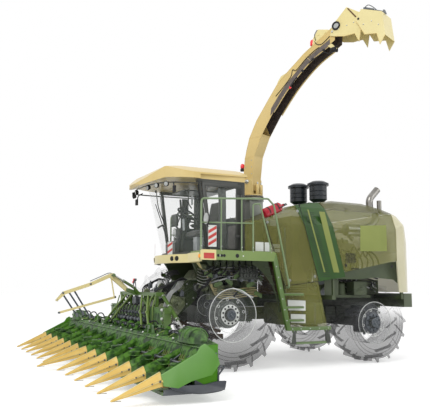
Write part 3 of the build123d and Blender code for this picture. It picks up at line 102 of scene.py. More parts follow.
def material(name, base, other, rough, metal=0, coat=0, alpha=1, grain=3, bump=0.05, bump_grain=60, worn=0,
        sheen=0, contrast=0.5, stretch=(1, 1, 1), shine=0.3):
    """Principled material whose colour drifts between two tones, with a fine relief from noise."""
    mat = bpy.data.materials.new(name)
    mat.use_nodes = True
    tree = mat.node_tree
    shader = tree.nodes["Principled BSDF"]
    for socket, value in (("Metallic", metal), ("Coat Weight", coat), ("Specular IOR Level", shine),
            ("Coat Roughness", 0.12), ("Sheen Weight", sheen), ("Alpha", alpha)):
        shader.inputs[socket].default_value = value
    place = add_node(tree, "TexCoord")
    scale = add_node(tree, "Mapping", [("Vector", place.outputs["Object"])], Scale=stretch)
    drift = add_node(tree, "TexNoise", [("Vector", scale.outputs["Vector"])], Scale=grain, Detail=5)
    ramp = add_node(tree, "ValToRGB", [("Fac", drift.outputs["Fac"])])
    for stop, shift, tone in zip(ramp.color_ramp.elements, (-0.5, 0.5), (other, base)):
        stop.position = 0.5 + shift * contrast
        stop.color = (*tone, 1)
    colour = ramp.outputs["Color"]
    # Sharp edges are mixed towards a paler tone of the paint: partly worn paint, partly a painted highlight
    # along the edges.
    if worn:
        edge = add_node(tree, "NewGeometry")
        sharp = add_node(tree, "MapRange", [("Value", edge.outputs["Pointiness"])], From_Min=0.52,
            From_Max=0.62, To_Max=worn)
        wear = tree.nodes.new("ShaderNodeMix")
        wear.data_type = "RGBA"
        wear.inputs["B"].default_value = (*[min(1, 0.35 + c) for c in base], 1)
        tree.links.new(sharp.outputs["Result"], wear.inputs["Factor"])
        tree.links.new(colour, wear.inputs["A"])
        colour = wear.outputs["Result"]
    patch = add_node(tree, "MapRange", [("Value", drift.outputs["Fac"])], To_Min=max(0.02, rough - 0.08),
        To_Max=rough + 0.1)
    relief = add_node(tree, "TexNoise", [("Vector", scale.outputs["Vector"])], Scale=bump_grain, Detail=3)
    lift = add_node(tree, "Bump", [("Height", relief.outputs["Fac"])], Strength=bump, Distance=0.01)
    for source, socket in ((colour, "Base Color"), (patch.outputs["Result"], "Roughness"),
            (lift.outputs["Normal"], "Normal")):
        tree.links.new(source, shader.inputs[socket])
    return mat


def glow(name, colour, strength):
    """Lamp material: the same with a weak light of its own."""
    mat = material(name, colour, [0.8 * c for c in colour], rough=0.2, coat=0.5)
    shader = mat.node_tree.nodes["Principled BSDF"]
    shader.inputs["Emission Color"].default_value = (*colour, 1)
    shader.inputs["Emission Strength"].default_value = strength
    return mat


# Name, light tone, dark tone, roughness and what else the finish sets
FINISHES = [
    ("paint_green", (0.085, 0.17, 0.022), (0.05, 0.105, 0.012), 0.34, dict(coat=0.12, worn=0.25)),
    ("band_green", (0.035, 0.11, 0.014), (0.02, 0.07, 0.008), 0.34, dict(coat=0.12, alpha=0.86, grain=2)),
    ("duct_olive", (0.20, 0.21, 0.06), (0.14, 0.15, 0.04), 0.4, dict()),
    ("beam_green", (0.16, 0.25, 0.035), (0.11, 0.19, 0.022), 0.34, dict(coat=0.12, worn=0.2)),
    ("deep_green", (0.055, 0.08, 0.025), (0.03, 0.05, 0.015), 0.4, dict(worn=0.2, grain=4)),
    ("bright_green", (0.095, 0.29, 0.018), (0.07, 0.235, 0.012), 0.42, dict(worn=0.3, shine=0.1)),
    # header_green and ridge_green: the strong mottle between a bright green and near black is painted
    # reflections and highlights on the deck, laid over the paint's own uneven tone.
    ("header_green", (0.075, 0.185, 0.03), (0.008, 0.032, 0.005), 0.42,
     dict(worn=0.35, grain=9, contrast=0.16, shine=0.12)),
    ("ridge_green", (0.085, 0.21, 0.025), (0.018, 0.06, 0.008), 0.42,
     dict(worn=0.3, grain=11, contrast=0.2, shine=0.12)),
    ("chain_green", (0.09, 0.20, 0.05), (0.04, 0.10, 0.03), 0.4, dict(metal=0.3, worn=0.5, grain=12)),
    ("chassis_black", (0.035, 0.045, 0.03), (0.015, 0.02, 0.012), 0.45, dict(worn=0.25)),
    ("axle_grey", (0.20, 0.22, 0.19), (0.11, 0.12, 0.10), 0.42, dict(metal=0.3, worn=0.4)),
    ("engine_grey", (0.20, 0.19, 0.10), (0.10, 0.10, 0.05), 0.45, dict(metal=0.3, grain=6, worn=0.4)),
    ("radiator_bronze", (0.20, 0.15, 0.07), (0.11, 0.08, 0.04), 0.5,
     dict(metal=0.4, grain=8, stretch=(1, 12, 1), bump=0.3)),
    ("fan_bronze", (0.11, 0.06, 0.04), (0.07, 0.04, 0.025), 0.5, dict(grain=10)),
    ("tank_plastic", (0.17, 0.19, 0.08), (0.10, 0.12, 0.05), 0.5, dict(grain=6, bump=0.1)),
    ("panel_ghost", (0.30, 0.30, 0.08), (0.22, 0.23, 0.05), 0.34, dict(coat=0.1, alpha=0.34, grain=1.6)),
    ("tail_ghost", (0.86, 0.82, 0.60), (0.78, 0.74, 0.50), 0.34, dict(coat=0.1, alpha=0.62, grain=1.6)),
    ("roof_ghost", (0.22, 0.21, 0.09), (0.15, 0.15, 0.06), 0.36, dict(coat=0.1, alpha=0.55, grain=1.6)),
    ("precleaner_black", (0.028, 0.034, 0.042), (0.015, 0.02, 0.025), 0.38, dict(coat=0.2)),
    ("exhaust_chrome", (0.34, 0.33, 0.31), (0.20, 0.19, 0.17), 0.24, dict(metal=0.9, grain=4, bump=0.02)),
    ("extinguisher_red", (0.50, 0.008, 0.03), (0.40, 0.006, 0.022), 0.25, dict(coat=0.6)),
    ("paint_cream", (0.74, 0.56, 0.23), (0.66, 0.49, 0.18), 0.32, dict(coat=0.12, worn=0.12)),
    ("pale_cream", (0.84, 0.73, 0.36), (0.78, 0.66, 0.30), 0.32, dict(coat=0.12, worn=0.12)),
    ("cab_dark", (0.045, 0.048, 0.042), (0.025, 0.028, 0.022), 0.38, dict(coat=0.2, worn=0.2)),
    ("cab_glass", (0.60, 0.66, 0.62), (0.52, 0.60, 0.56), 0.05,
     dict(coat=0.1, alpha=0.06, bump=0.0, grain=1)),
    ("seat_grey", (0.20, 0.195, 0.185), (0.13, 0.13, 0.125), 0.85,
     dict(sheen=0.4, bump=0.5, bump_grain=400, grain=30)),
    ("tyre_rubber", (0.085, 0.085, 0.09), (0.06, 0.06, 0.062), 0.8,
     dict(alpha=0.21, bump=0.25, bump_grain=90, shine=0.05)),
    ("rim_grey", (0.50, 0.52, 0.54), (0.38, 0.40, 0.42), 0.5,
     dict(metal=0.1, alpha=0.08, grain=5, shine=0.1)),
    ("hub_grey", (0.34, 0.36, 0.37), (0.22, 0.24, 0.25), 0.36, dict(metal=0.5, worn=0.4, grain=9)),
    ("point_yellow", (0.84, 0.60, 0.19), (0.74, 0.48, 0.12), 0.4, dict(worn=0.3, grain=6, shine=0.15)),
    ("dark_liner", (0.15, 0.12, 0.105), (0.075, 0.06, 0.055), 0.5, dict(metal=0.3, grain=14, worn=0.3)),
    ("black_rubber", (0.02, 0.02, 0.022), (0.012, 0.012, 0.013), 0.55, dict(grain=20, bump=0.1)),
    ("steel", (0.56, 0.57, 0.56), (0.42, 0.43, 0.42), 0.3, dict(metal=1.0, grain=20)),
    ("dark_steel", (0.10, 0.115, 0.13), (0.05, 0.06, 0.07), 0.38, dict(metal=0.5, grain=10, worn=0.4)),
    ("arm_slate", (0.075, 0.082, 0.095), (0.045, 0.05, 0.06), 0.45, dict(grain=8, worn=0.3)),
    ("white_paint", (0.78, 0.80, 0.77), (0.66, 0.68, 0.65), 0.4, dict(grain=8)),
    ("plate_red", (0.62, 0.09, 0.08), (0.50, 0.06, 0.05), 0.4, dict(grain=8)),
    ("step_grey", (0.42, 0.44, 0.36), (0.32, 0.34, 0.27), 0.5, dict(metal=0.3, grain=20, bump=0.3)),
    ("plate_green", (0.26, 0.30, 0.075), (0.21, 0.25, 0.055), 0.36, dict(coat=0.1, grain=2)),
    ("rail_green", (0.26, 0.34, 0.20), (0.18, 0.26, 0.13), 0.4, dict(worn=0.2, grain=6)),
    ("brown_hose", (0.17, 0.09, 0.035), (0.10, 0.05, 0.02), 0.5, dict(grain=20)),
    ("sand_cast", (0.27, 0.30, 0.17), (0.12, 0.16, 0.07), 0.5,
     dict(metal=0.3, grain=14, worn=0.4, bump=0.2)),
]
M = {row[0]: material(*row[:4], **row[4]) for row in FINISHES}
for name, colour, strength in (("lamp_glass", (0.50, 0.52, 0.50), 0.05), ("amber", (0.95, 0.36, 0.03), 0.25),
        ("red_lamp", (0.80, 0.03, 0.04), 0.25)):
    M[name] = glow(name, colour, strength)

# The tyres are drawn as ghosts: firm at the bottom and fading upwards, as in the photograph
rubber = M["tyre_rubber"].node_tree
place = next(node for node in rubber.nodes if node.type == "TEX_COORD")
height = add_node(rubber, "SeparateXYZ", [("Vector", place.outputs["Object"])])
fade = add_node(rubber, "MapRange", [("Value", height.outputs["Z"])], From_Min=0.70, From_Max=0.98,
    To_Min=0.40, To_Max=0.07)
rubber.links.new(fade.outputs["Result"], rubber.nodes["Principled BSDF"].inputs["Alpha"])


def dress(node, name):
    """Give a CAD node a material."""
    mesh = nodes[node].data
    mesh.materials.clear()
    mesh.materials.append(M[name])


for part in frame["record"]["subparts"]:
    dress(part["node"], part["material_slot"])
for node, name in (("intake_bands", "band_green"), ("hood_top", "roof_ghost"), ("rear_bumper", "deep_green"),
        ("deflector_inner", "pale_cream"), ("deflector_outer", "pale_cream"), ("railings", "rail_green"),
        ("crop_guide", "pale_cream")):
    dress(node, name)


def recolour(node, name, test):
    """Second material on the faces of a CAD node whose middle, in layout millimetres, passes a test."""
    mesh = nodes[node].data
    index = len(mesh.materials)
    mesh.materials.append(M[name])
    for face in mesh.polygons:
        x, y, z = (1000 * value for value in face.center)
        if test(x - SHIFT, y, z):
            face.material_index = index


recolour("chassis_frame", "deep_green", lambda x, y, z: abs(y) > 700)
recolour("feeder_house", "deep_green", lambda x, y, z: True)
recolour("ladder", "paint_green", lambda x, y, z: z < 500)
recolour("platform", "beam_green", lambda x, y, z: z > 1885)
recolour("platform", "step_grey", lambda x, y, z: x < -1000 and z > 760 and z < 1500 and abs(y) < 1498)
recolour("crop_channel", "sand_cast", lambda x, y, z: z < 2060)
recolour("fascia", "pale_cream", lambda x, y, z: True)
for wing in ("wing_deck_left", "wing_deck_right"):
    recolour(wing, "bright_green", lambda x, y, z: abs(y) > 3709 and z > 200)
    recolour(wing, "arm_slate", lambda x, y, z: abs(y) > 3650 and (z < 262 or x < 1475 and z < 450))
for deck in ("header_deck", "wing_deck_left", "wing_deck_right"):
    recolour(deck, "ridge_green", lambda x, y, z: 1660 < x < 2195 and z > 245 and abs(y) < 3700 and
        abs(y / ROW - round(y / ROW)) < 0.16)
recolour("crop_guide", "dark_steel", lambda x, y, z: 860 < z < 1330 and abs(y) < 17 and x < 2700 and not
    (-0.265 * (x - 1690) + 1200 < z < -0.265 * (x - 1690) + 1275))

# Geometry of the added pieces

def basis(axis):
    """Two unit vectors square to an axis."""
    axis = axis.normalized()
    helper = Z if abs(axis.z) < 0.9 else X
    u = axis.cross(helper).normalized()
    return u, axis.cross(u).normalized()


def spots(points, place):
    """Points as vectors in metres; layout points are turned by their place."""
    return [p if isinstance(p, Vector) else place(*p) for p in points]


def full_turn(count):
    """Angles spread evenly over a full turn."""
    return [2 * math.pi * k / count for k in range(count)]


def smooth_route(points, steps=6):
    """Points of a smooth line through the given ones."""
    pts = [points[0]] + list(points) + [points[-1]]
    route = []
    for i in range(1, len(pts) - 2):
        p0, p1, p2, p3 = pts[i - 1:i + 3]
        for k in range(steps):
            t = k / steps
            route.append(0.5 * ((2 * p1) + (p2 - p0) * t + (2 * p0 - 5 * p1 + 4 * p2 - p3) * t * t +
                (3 * p1 - p0 - 3 * p2 + p3) * t ** 3))
    return route + [points[-1]]


class Piece:
    """One added object: its mesh is gathered from simple forms, then it rides on a body.

    A form's points are vectors in metres, or layout points that its place turns into vectors.
    """

    open_pieces = []

    def __init__(self, name, mat, bevel=0.004, body="chassis"):
        self.name, self.body, self.mat, self.bevel = name, body, mat, bevel
        self.bm = bmesh.new()
        self.open_pieces.append(self)

    def faces(self, rings, closed_ends=True, loop=True):
        """Skin between rings of points."""
        rows = [[self.bm.verts.new(p) for p in ring] for ring in rings]
        n = len(rows[0])
        for a, b in zip(rows, rows[1:]):
            for i in range(n if loop else n - 1):
                j = (i + 1) % n
                self.bm.faces.new((a[i], a[j], b[j], b[i]))
        if closed_ends:
            self.bm.faces.new(list(reversed(rows[0])))
            self.bm.faces.new(rows[-1])
        return self

    def prism(self, outline, offset, place=P):
        """Plate: an outline of points, thickened by an offset vector."""
        outline = spots(outline, place)
        return self.faces([outline, [p + offset for p in outline]])

    def box(self, low, high, place=P):
        """Box between two layout corners, given in millimetres."""
        (x0, y0, z0), (x1, y1, z1) = low, high
        ring = [place(x0, y0, z0), place(x1, y0, z0), place(x1, y1, z0), place(x0, y1, z0)]
        top = [place(x0, y0, z1), place(x1, y0, z1), place(x1, y1, z1), place(x0, y1, z1)]
        return self.faces([ring, top])

    def tube(self, points, radius, segs=12, place=P):
        """Round hose or cable on a smooth line through points, radius in metres."""
        route = spots(points, place)
        return self.bar(smooth_route(route) if len(route) > 2 else route, radius, segs)

    def bar(self, points, radius, segs=12, place=P):
        """Round bar with straight runs between points, radius in metres."""
        route = spots(points, place)
        rings, u = [], None
        for i, p in enumerate(route):
            ahead = route[min(i + 1, len(route) - 1)] - route[max(i - 1, 0)]
            axis = ahead.normalized()
            if u is None:
                u, v = basis(axis)
            u = (u - axis * u.dot(axis)).normalized()
            v = axis.cross(u)
            rings.append([p + radius * (math.cos(a) * u + math.sin(a) * v) for a in full_turn(segs)])
        return self.faces(rings)

    def lathe(self, start, axis, profile, segs=28, solid=True):
        """Turned form: (distance along the axis, radius) pairs in millimetres from a start point."""
        axis = axis.normalized()
        u, v = basis(axis)
        rings = []
        for along, radius in profile:
            r = max(radius, 0.4) / 1000
            middle = start + axis * along / 1000
            rings.append([middle + r * (math.cos(a) * u + math.sin(a) * v) for a in full_turn(segs)])
        return self.faces(rings, solid)

    def ring(self, start, axis, profile, segs=28):
        """Turned ring: its profile is closed on itself, and its middle is open."""
        return self.lathe(start, axis, profile + profile[:1], segs, False)

    def bolt(self, at, axis, r=12):
        """Hexagon head with its washer."""
        self.lathe(at, axis, [(0, r * 1.35), (3, r * 1.35)], 16)
        return self.lathe(at + axis.normalized() * 0.003, axis,
            [(0, r), (r * 0.75, r), (r * 0.85, r * 0.85)], 6)

    def bolts(self, centre, axis, radius, count, r=12, phase=0.0):
        """Circle of bolts."""
        for spot, _ in around(centre, axis, radius, count, phase):
            self.bolt(spot, axis, r)

    def done(self, smooth_angle=38):
        """Turn the gathered mesh into a finished object on its body."""
        self.open_pieces.remove(self)
        bmesh.ops.remove_doubles(self.bm, verts=self.bm.verts, dist=1e-6)
        bmesh.ops.recalc_face_normals(self.bm, faces=self.bm.faces)
        mesh = bpy.data.meshes.new(self.name)
        self.bm.to_mesh(mesh)
        self.bm.free()
        mesh.materials.append(M[self.mat])
        mesh.shade_smooth()
        mesh.set_sharp_from_angle(angle=math.radians(smooth_angle))
        obj = bpy.data.objects.new(self.name, mesh)
        bpy.context.scene.collection.objects.link(obj)
        if self.bevel:
            edge = obj.modifiers.new("edge", "BEVEL")
            edge.width = self.bevel
            edge.segments = 2
            edge.limit_method = "ANGLE"
            edge.angle_limit = math.radians(50)
            edge.harden_normals = True
        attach(obj, self.body)
        return obj


def around(centre, axis, radius, count, phase=0.0):
    """Places spread evenly on a circle, with the direction out of its middle; radius in millimetres."""
    u, v = basis(axis)
    for k in range(count):
        a = 2 * math.pi * (k + phase) / count
        out = math.cos(a) * u + math.sin(a) * v
        yield centre + out * radius / 1000, out


# Wheels

# Name, middle x, axle height, hub face y, rim and tyre radius, nuts, sidewall's widest y
AXLES = [("front_", 0, 950, 1239, 455, 950, 12, 1420), ("rear_", REAR_X, 760, 1229, 400, 760, 10, 1350)]
WHEELS = [(*row, at) for row in AXLES for at in (LEFT, RIGHT)]
for axle, x, z, face, rim_r, tyre_r, count, wall_y, at in WHEELS:
    name = axle + at.name
    body = "wheel_" + name
    front = axle == "front_"
    out = at.out
    centre = at(x, face + 1, z)
    ring = Piece("hub_ring_" + name, "white_paint" if front else "dark_steel", 0.002, body)
    ring.ring(centre, out, [(0, 178), (10, 178), (14, 172), (14, 118), (10, 112), (0, 112)], 40)
    nuts = Piece("hub_nuts_" + name, "black_rubber", 0.001, body)
    for spot, _ in around(centre, out, 147, count, 0.5):
        nuts.bolt(spot + out * 0.014, out, 13)
    cap = Piece("hub_face_" + name, "dark_steel", 0.002, body)
    end = at(x, face + (55 if front else 60), z)
    cap.lathe(end, out, [(0, 88), (12, 84), (18, 70), (18, 40), (26, 34), (26, 1)], 36)
    for spot, _ in around(end, out, 55, 6):
        cap.bolt(spot + out * 0.018, out, 7)
    for spot, way in around(centre, out, 96, 9):
        low, high = spot - way * 0.004, spot + way * 0.012
        cap.prism([high, high + out * 0.05, low + out * 0.05, low], out.cross(way) * 0.006)
    drum = Piece("wheel_drum_" + name, "axle_grey" if front else "arm_slate", 0.002, body)
    inner = at(x, face - 26, z)
    drum.ring(inner, out, [(0, 216), (-60, 222), (-66, 216), (-66, 112), (0, 112)], 44)
    drum.bolts(inner, out, 200, 16, 8)
    flange = Piece("rim_flange_" + name, "white_paint", 0.001, body)
    edge = at(x, wall_y - 68, z)
    flange.ring(edge, out, [(0, rim_r - 4), (0, rim_r + 6), (5, rim_r + 8), (7, rim_r + 2), (6, rim_r - 4)],
        64)
    flange.ring(at(x, face + 12, z), out, [(0, rim_r * 0.68), (3, rim_r * 0.685), (3, rim_r * 0.665)], 56)
    for spot, way in around(at(x, face - 4, z), out, rim_r * 0.60, 8, 0.25):
        flange.ring(spot, out, [(4, 26), (7, 26), (7, 18), (4, 18)], 20)
    flange.lathe(at(x, wall_y - 66, z - rim_r + 30), out, [(0, 6), (22, 6), (24, 4)], 10)
    walls = Piece("sidewall_rings_" + name, "tyre_rubber", 0.001, body)
    middle = (rim_r + tyre_r - 52) / 2
    for r in (middle - 40, middle + 30, middle + 90):
        slope = (71 if front else 58) / (middle - rim_r)
        back = wall_y - abs(r - middle) * (slope if r < middle else 0.15)
        walls.ring(at(x, back - (3 if r < middle else 1), z), out,
            [(0, r - 5), (2.5, r - 3), (2.5, r + 3), (0, r + 5)], 64)

# Header: points

ROWS = {"feeder": (-2, -1, 0, 1, 2), "wing_left": (3, 4, 5, 6), "wing_right": (-3, -4, -5, -6)}
SECTIONS = {"feeder": (-1478, 1478), "wing_left": (1522, 3698), "wing_right": (-3698, -1522)}
for body, rows in ROWS.items():
    pins = Piece("point_pins_" + body, "dark_steel", 0.001, body)
    skirts = Piece("point_skirts_" + body, "ridge_green", body=body)
    shoes = Piece("point_shoes_" + body, "steel", 0.002, body)
    straps = Piece("point_straps_" + body, "pale_cream", 0.002, body)
    for y in (ROW * row for row in rows):
        tip = 2820 + (210 if y == 0 else 0)
        for at in SIDES:
            pins.bolt(P(2235, y + at.side * 96, 290), Vector((0.12, at.side, 0.1)), 11)
            pins.bolt(P(2330, y + at.side * 82, 262), Vector((0.12, at.side, 0.1)), 8)
            skirts.prism([(2010, y + at.side * 106, 235), (2196, y + at.side * 106, 235),
                (2196, y + at.side * 92, 316), (2010, y + at.side * 96, 330)], at.out * 0.004)
            straps.bar([(2215, y + at.side * 101, 300), (tip - 120, y + at.side * 24, 118)], 0.004, 6)
        straps.bar([(2205, y, 392), (tip - 60, y, 122)], 0.006, 6)
        shoes.prism([(tip - 130, y - 24, 76), (tip - 4, y - 13, 74), (tip - 4, y + 13, 74),
            (tip - 130, y + 24, 76)], Z * 0.006)
        pins.lathe(P(2207, y - 60, 215), Y, [(0, 9), (120, 9)], 12)

# Header: cutting discs, gathering drums, ribs of the row covers, drives and hoses

DRUM_ROWS = {"feeder": (-900, -300, 300, 900), "wing_left": (1860, 2400, 3000, 3480),
    "wing_right": (-1860, -2400, -3000, -3480)}
for body, rows in DRUM_ROWS.items():
    low, high = SECTIONS[body]
    discs = Piece("cutting_discs_" + body, "dark_steel", 0.001, body)
    drums = Piece("gathering_drums_" + body, "header_green", 0.002, body)
    arms = Piece("gathering_arms_" + body, "ridge_green", 0.001, body)
    for y in rows:
        r = min(230, y - low - 4, high - y - 4)
        discs.lathe(P(1935, y, 205), Z, [(0, r - 22), (5, r - 22), (5, 60), (0, 60)], 40)
        for k in range(18):
            a, b = 2 * math.pi * k / 18, 2 * math.pi * (k + 0.55) / 18
            tooth = ((a, r - 24), (b, r - 24), (b, r))
            discs.prism([(1935 + d * math.cos(t), y + d * math.sin(t), 206) for t, d in tooth], Z * 0.004)
        drums.lathe(P(1935, y, 212), Z, [(0, 120), (8, 124), (60, 96), (190, 78), (250, 84), (262, 70),
            (262, 20)], 32)
        for level, reach in ((250, 172), (330, 150), (410, 132)):
            for spot, way in around(P(1935, y, level), Z, 90, 8, level / 90):
                across = Z.cross(way)
                end = spot + way * (reach - 90) / 1000
                arms.prism([spot - across * 0.02, end + across * 0.012, end + across * 0.024,
                    spot + across * 0.028], Z * 0.007)
            arms.lathe(P(1935, y, level - 3), Z, [(0, 98), (12, 98)], 24)

for body, (low, high) in SECTIONS.items():
    seams = Piece("cover_seams_" + body, "ridge_green", 0.002, body)
    clips = Piece("cover_clips_" + body, "white_paint", 0.002, body)
    rods = Piece("cover_rods_" + body, "dark_steel", 0.002, body)
    count = round((high - low) / 300)
    for k in range(count + 1):
        y = low + 12 + k * (high - low - 24) / count
        taper = max(0, abs(y) - 3150) * 0.25
        seams.prism([(1340 + taper, y - 8, 722), (1612, y - 8, 702), (1692, y - 8, 592), (1782, y - 8, 334),
            (1776, y - 8, 334), (1686, y - 8, 586), (1608, y - 8, 696), (1340 + taper, y - 8, 716)],
            Y * 0.016)
        if k < count and k % 2:
            clips.lathe(P(1618, y + 140, 700), Vector((0.6, 0, 1)), [(0, 16), (12, 16), (18, 9)], 14)
    for x, z in ((1650, 655), (1735, 470)):
        seams.bar([(x, low + 20, z + 4), (x, high - 20, z + 4)], 0.009, 8)
    rods.bar([(1830, low + 30, 455), (1830, high - 30, 455)], 0.016, 10)
    for k in range(1, count):
        y = low + k * (high - low) / count
        rods.tube([(1700, y, 540), (1760, y, 500), (1830, y, 455)], 0.010, 8)
        rods.lathe(P(1830, y - 22, 455), Y, [(0, 30), (44, 30)], 18)

# Header frame: hydraulic hoses, valve block, marker posts and the guide's fittings

hoses = Piece("header_hoses", "black_rubber", 0, "feeder")
for k in range(5):
    y = 440 + 34 * k
    hoses.tube([(1262, y, 1300 - 16 * k), (1110, y, 1330 + 8 * k), (1000 - 14 * k, y, 1440),
        (930 - 16 * k, y - 20, 1570), (800, y - 60, 1700 - 14 * k), (640, y - 90, 1740 - 20 * k)], 0.009, 8)
for k in range(5):
    y = -760 + 40 * k
    hoses.tube([(1215, y, 1268), (1190, y + 60, 1180), (1205, y + 160, 1110), (1215, y + 320, 1104 + 6 * k),
        (1210, y + 620, 1108 + 6 * k), (1190, y + 760, 1180), (1180, 300 + 12 * k, 1260)], 0.011, 8)
for at in SIDES:
    for k in range(3):
        hoses.tube([(1225, 420 + 20 * k, 1262), (1180, 620 + 20 * k, 1225 - 14 * k),
            (1175, 860 + 20 * k, 1215 - 16 * k), (1165, 1010, 1262)], 0.009, 8, at)

valves = Piece("header_valve_block", "dark_steel", 0.004, "feeder")
valves.box((1176, -300, 1108), (1276, -90, 1246)).box((1186, 110, 1100), (1266, 300, 1210))
for k in range(5):
    valves.lathe(P(1226, -280 + 44 * k, 1244), Z, [(0, 13), (10, 13), (12, 9), (34, 9), (36, 14), (46, 14)],
        14)
    valves.lathe(P(1178, -280 + 44 * k, 1176), -X, [(0, 12), (16, 12), (20, 8)], 12)
for k in range(4):
    valves.lathe(P(1226, 130 + 44 * k, 1208), Z, [(0, 15), (14, 15), (18, 10), (26, 10)], 14)

clamps = Piece("cylinder_bands", "steel", 0.001, "feeder")
for at in SIDES:
    way = (at.out * 1170 - Z * 660).normalized()
    for along in (60, 380, 770):
        clamps.ring(at(1172, 980, 1300) + way * along / 1000, way, [(0, 30), (0, 34), (24, 34), (24, 30)],
            24)
    clamps.lathe(at(1172, 980, 1300) + way * 0.81, way, [(0, 18.5), (500, 18.5)], 20)
    clamps.bolt(at(1150, 2150, 640), -X, 15)
    clamps.bolt(at(1150, 980, 1300), -X, 15)
way = (P(1755, 62, 1632) - P(1370, 62, 1415)).normalized()
for along in (6, 222):
    clamps.ring(P(1370, 62, 1415) + way * along / 1000, way, [(0, 26), (0, 30), (18, 30), (18, 26)], 24)
clamps.lathe(P(1370, 62, 1415) + way * 0.246, way, [(0, 14.6), (160, 14.6)], 18)

posts = Piece("marker_posts", "dark_steel", 0.002, "feeder")
for y, top in ((-189, 1510), (-87, 1556), (1405, 1060)):
    posts.tube([(1272, y, 1040 if y > 0 else 1334), (1290, y, top - 60), (1300, y, top)], 0.009, 8)
posts.lathe(P(1300, -87, 1556), X, [(-26, 22), (20, 24)], 18)
posts.box((1276, -212, 1486), (1302, -166, 1540))
lamps = Piece("marker_lamps", "red_lamp", 0.002, "feeder")
lamps.lathe(P(1320, -87, 1556), X, [(0, 22), (10, 21), (16, 14), (18, 2)], 20)
lamps.lathe(P(1303, -189, 1513), X, [(0, 19), (8, 18), (13, 10), (14, 2)], 18)
knobs = Piece("coupling_knobs", "white_paint", 0.002, "feeder")
for y, z in ((1405, 1055), (1412, 912), (1380, 800), (-1405, 1055)):
    knobs.lathe(P(1322, y, z), X, [(0, 20), (10, 24), (30, 22), (36, 12), (36, 2)], 20)

bolts = Piece("frame_bolts", "steel", 0.001, "feeder")
for y in (-1430, -460, 460, 1430):
    for dy in (-24, 24):
        for z in (312, 340, 940, 968):
            bolts.bolt(P(1199, y + dy, z), -X, 9)
for y in range(-1350, 1351, 300):
    bolts.bolt(P(1199, y, 220), -X, 9)
    bolts.bolt(P(1199, y, 1040), -X, 9)
for at in SIDES:
    for x, z in ((1100, 520), (1100, 940), (760, 760), (760, 1180), (460, 1120), (460, 1480), (330, 1230)):
        bolts.bolt(at(x, 401, z), at.out, 11)
    bolts.lathe(at(300, 500, 1420), at.out, [(0, 60), (12, 60), (14, 40), (20, 40)], 28)

drive = Piece("feeder_drive", "sand_cast", 0.003, "feeder")
drive.lathe(P(900, 402, 850), Y, [(0, 150), (30, 158), (36, 150), (36, 70), (62, 62), (62, 30), (84, 26)],
    40)
drive.lathe(P(620, 402, 1130), Y, [(0, 110), (26, 118), (32, 110), (32, 50), (50, 44)], 36)
drive.bolts(P(900, 436, 850), Y, 128, 12, 8)
drive.prism([(500, 402, 1240), (560, 402, 1010), (860, 402, 700), (1030, 402, 730), (1060, 402, 900),
    (880, 402, 1010), (660, 402, 1260)], Y * 0.018)
shaft = Piece("feeder_shaft", "pale_cream", 0.002, "feeder")
shaft.bar([(930, 520, 830), (1150, 560, 640)], 0.034, 16)
for spot in (P(930, 520, 830), P(1150, 560, 640)):
    shaft.lathe(spot - Vector((0.03, 0.005, -0.02)), Vector((0.22, 0.04, -0.19)),
        [(0, 48), (60, 48), (64, 30)], 18)

fittings = Piece("guide_fittings", "dark_steel", 0.001, "guide")
for x, z in ((1780, 1630), (2160, 1470), (2640, 1310), (2740, 1185), (1702, 1242), (2694, 972)):
    for at in SIDES:
        fittings.bolt(at(x, 24, z), at.out, 13)
for x, z in ((2365, 896), (2260, 929), (2135, 875)):
    fittings.lathe(P(x, 0, z), Vector((0.35, 0, 1)), [(0, 21), (60, 21), (70, 16)], 16)
fittings.tube([(1500, -34, 1400), (1650, -36, 1560), (1790, -30, 1670), (1980, -28, 1600),
    (2160, -28, 1520)], 0.007, 8)

# Under the cab: pump drive, beams, pipes and hoses behind the front wheels

under = Piece("pump_gearbox", "sand_cast", 0.006)
under.box((-150, 560, 1200), (150, 690, 1500))
under.lathe(P(0, 690, 1360), Y, [(0, 150), (24, 156), (30, 150), (30, 96), (70, 88), (76, 50), (120, 46)],
    36)
under.bolts(P(0, 716, 1360), Y, 128, 10, 10)
under.lathe(P(-260, 600, 1340), Y, [(0, 84), (150, 84), (160, 60), (190, 56)], 28)
under.lathe(P(250, 600, 1420), Y, [(0, 70), (130, 70), (140, 44), (170, 40)], 28)
for x in (-235, -285):
    under.lathe(P(x, 640, 1420), Z, [(0, 20), (40, 20), (46, 14), (80, 14)], 14)

carrier = Piece("cab_carrier", "deep_green", 0.006)
for at in SIDES:
    carrier.prism([(-520, 640, 1985), (-520, 640, 1900), (-120, 640, 1560), (330, 640, 1560),
        (470, 640, 1860), (470, 640, 1985)], at.out * 0.03, at)
    carrier.box((-520, 900, 1900), (480, 960, 1980), at)
    carrier.prism([(-300, 1000, 1985), (-300, 1000, 1800), (300, 1000, 1800), (430, 1000, 1985)],
        at.out * 0.02, at)
for x in (-420, -100, 220):
    carrier.box((x, -900, 1900), (x + 60, 900, 1960))

beams = Piece("front_beams", "brown_hose", 0.006)
beams.prism([(-205, 520, 480), (150, 520, 505), (150, 520, 590), (-205, 520, 575)], Y * 0.06)
for at in SIDES:
    beams.tube([(-200, 460, 620), (0, 470, 660), (220, 470, 760)], 0.03, 12, at)
    beams.tube([(-190, 640, 880), (60, 660, 700), (230, 640, 640)], 0.022, 12, at)

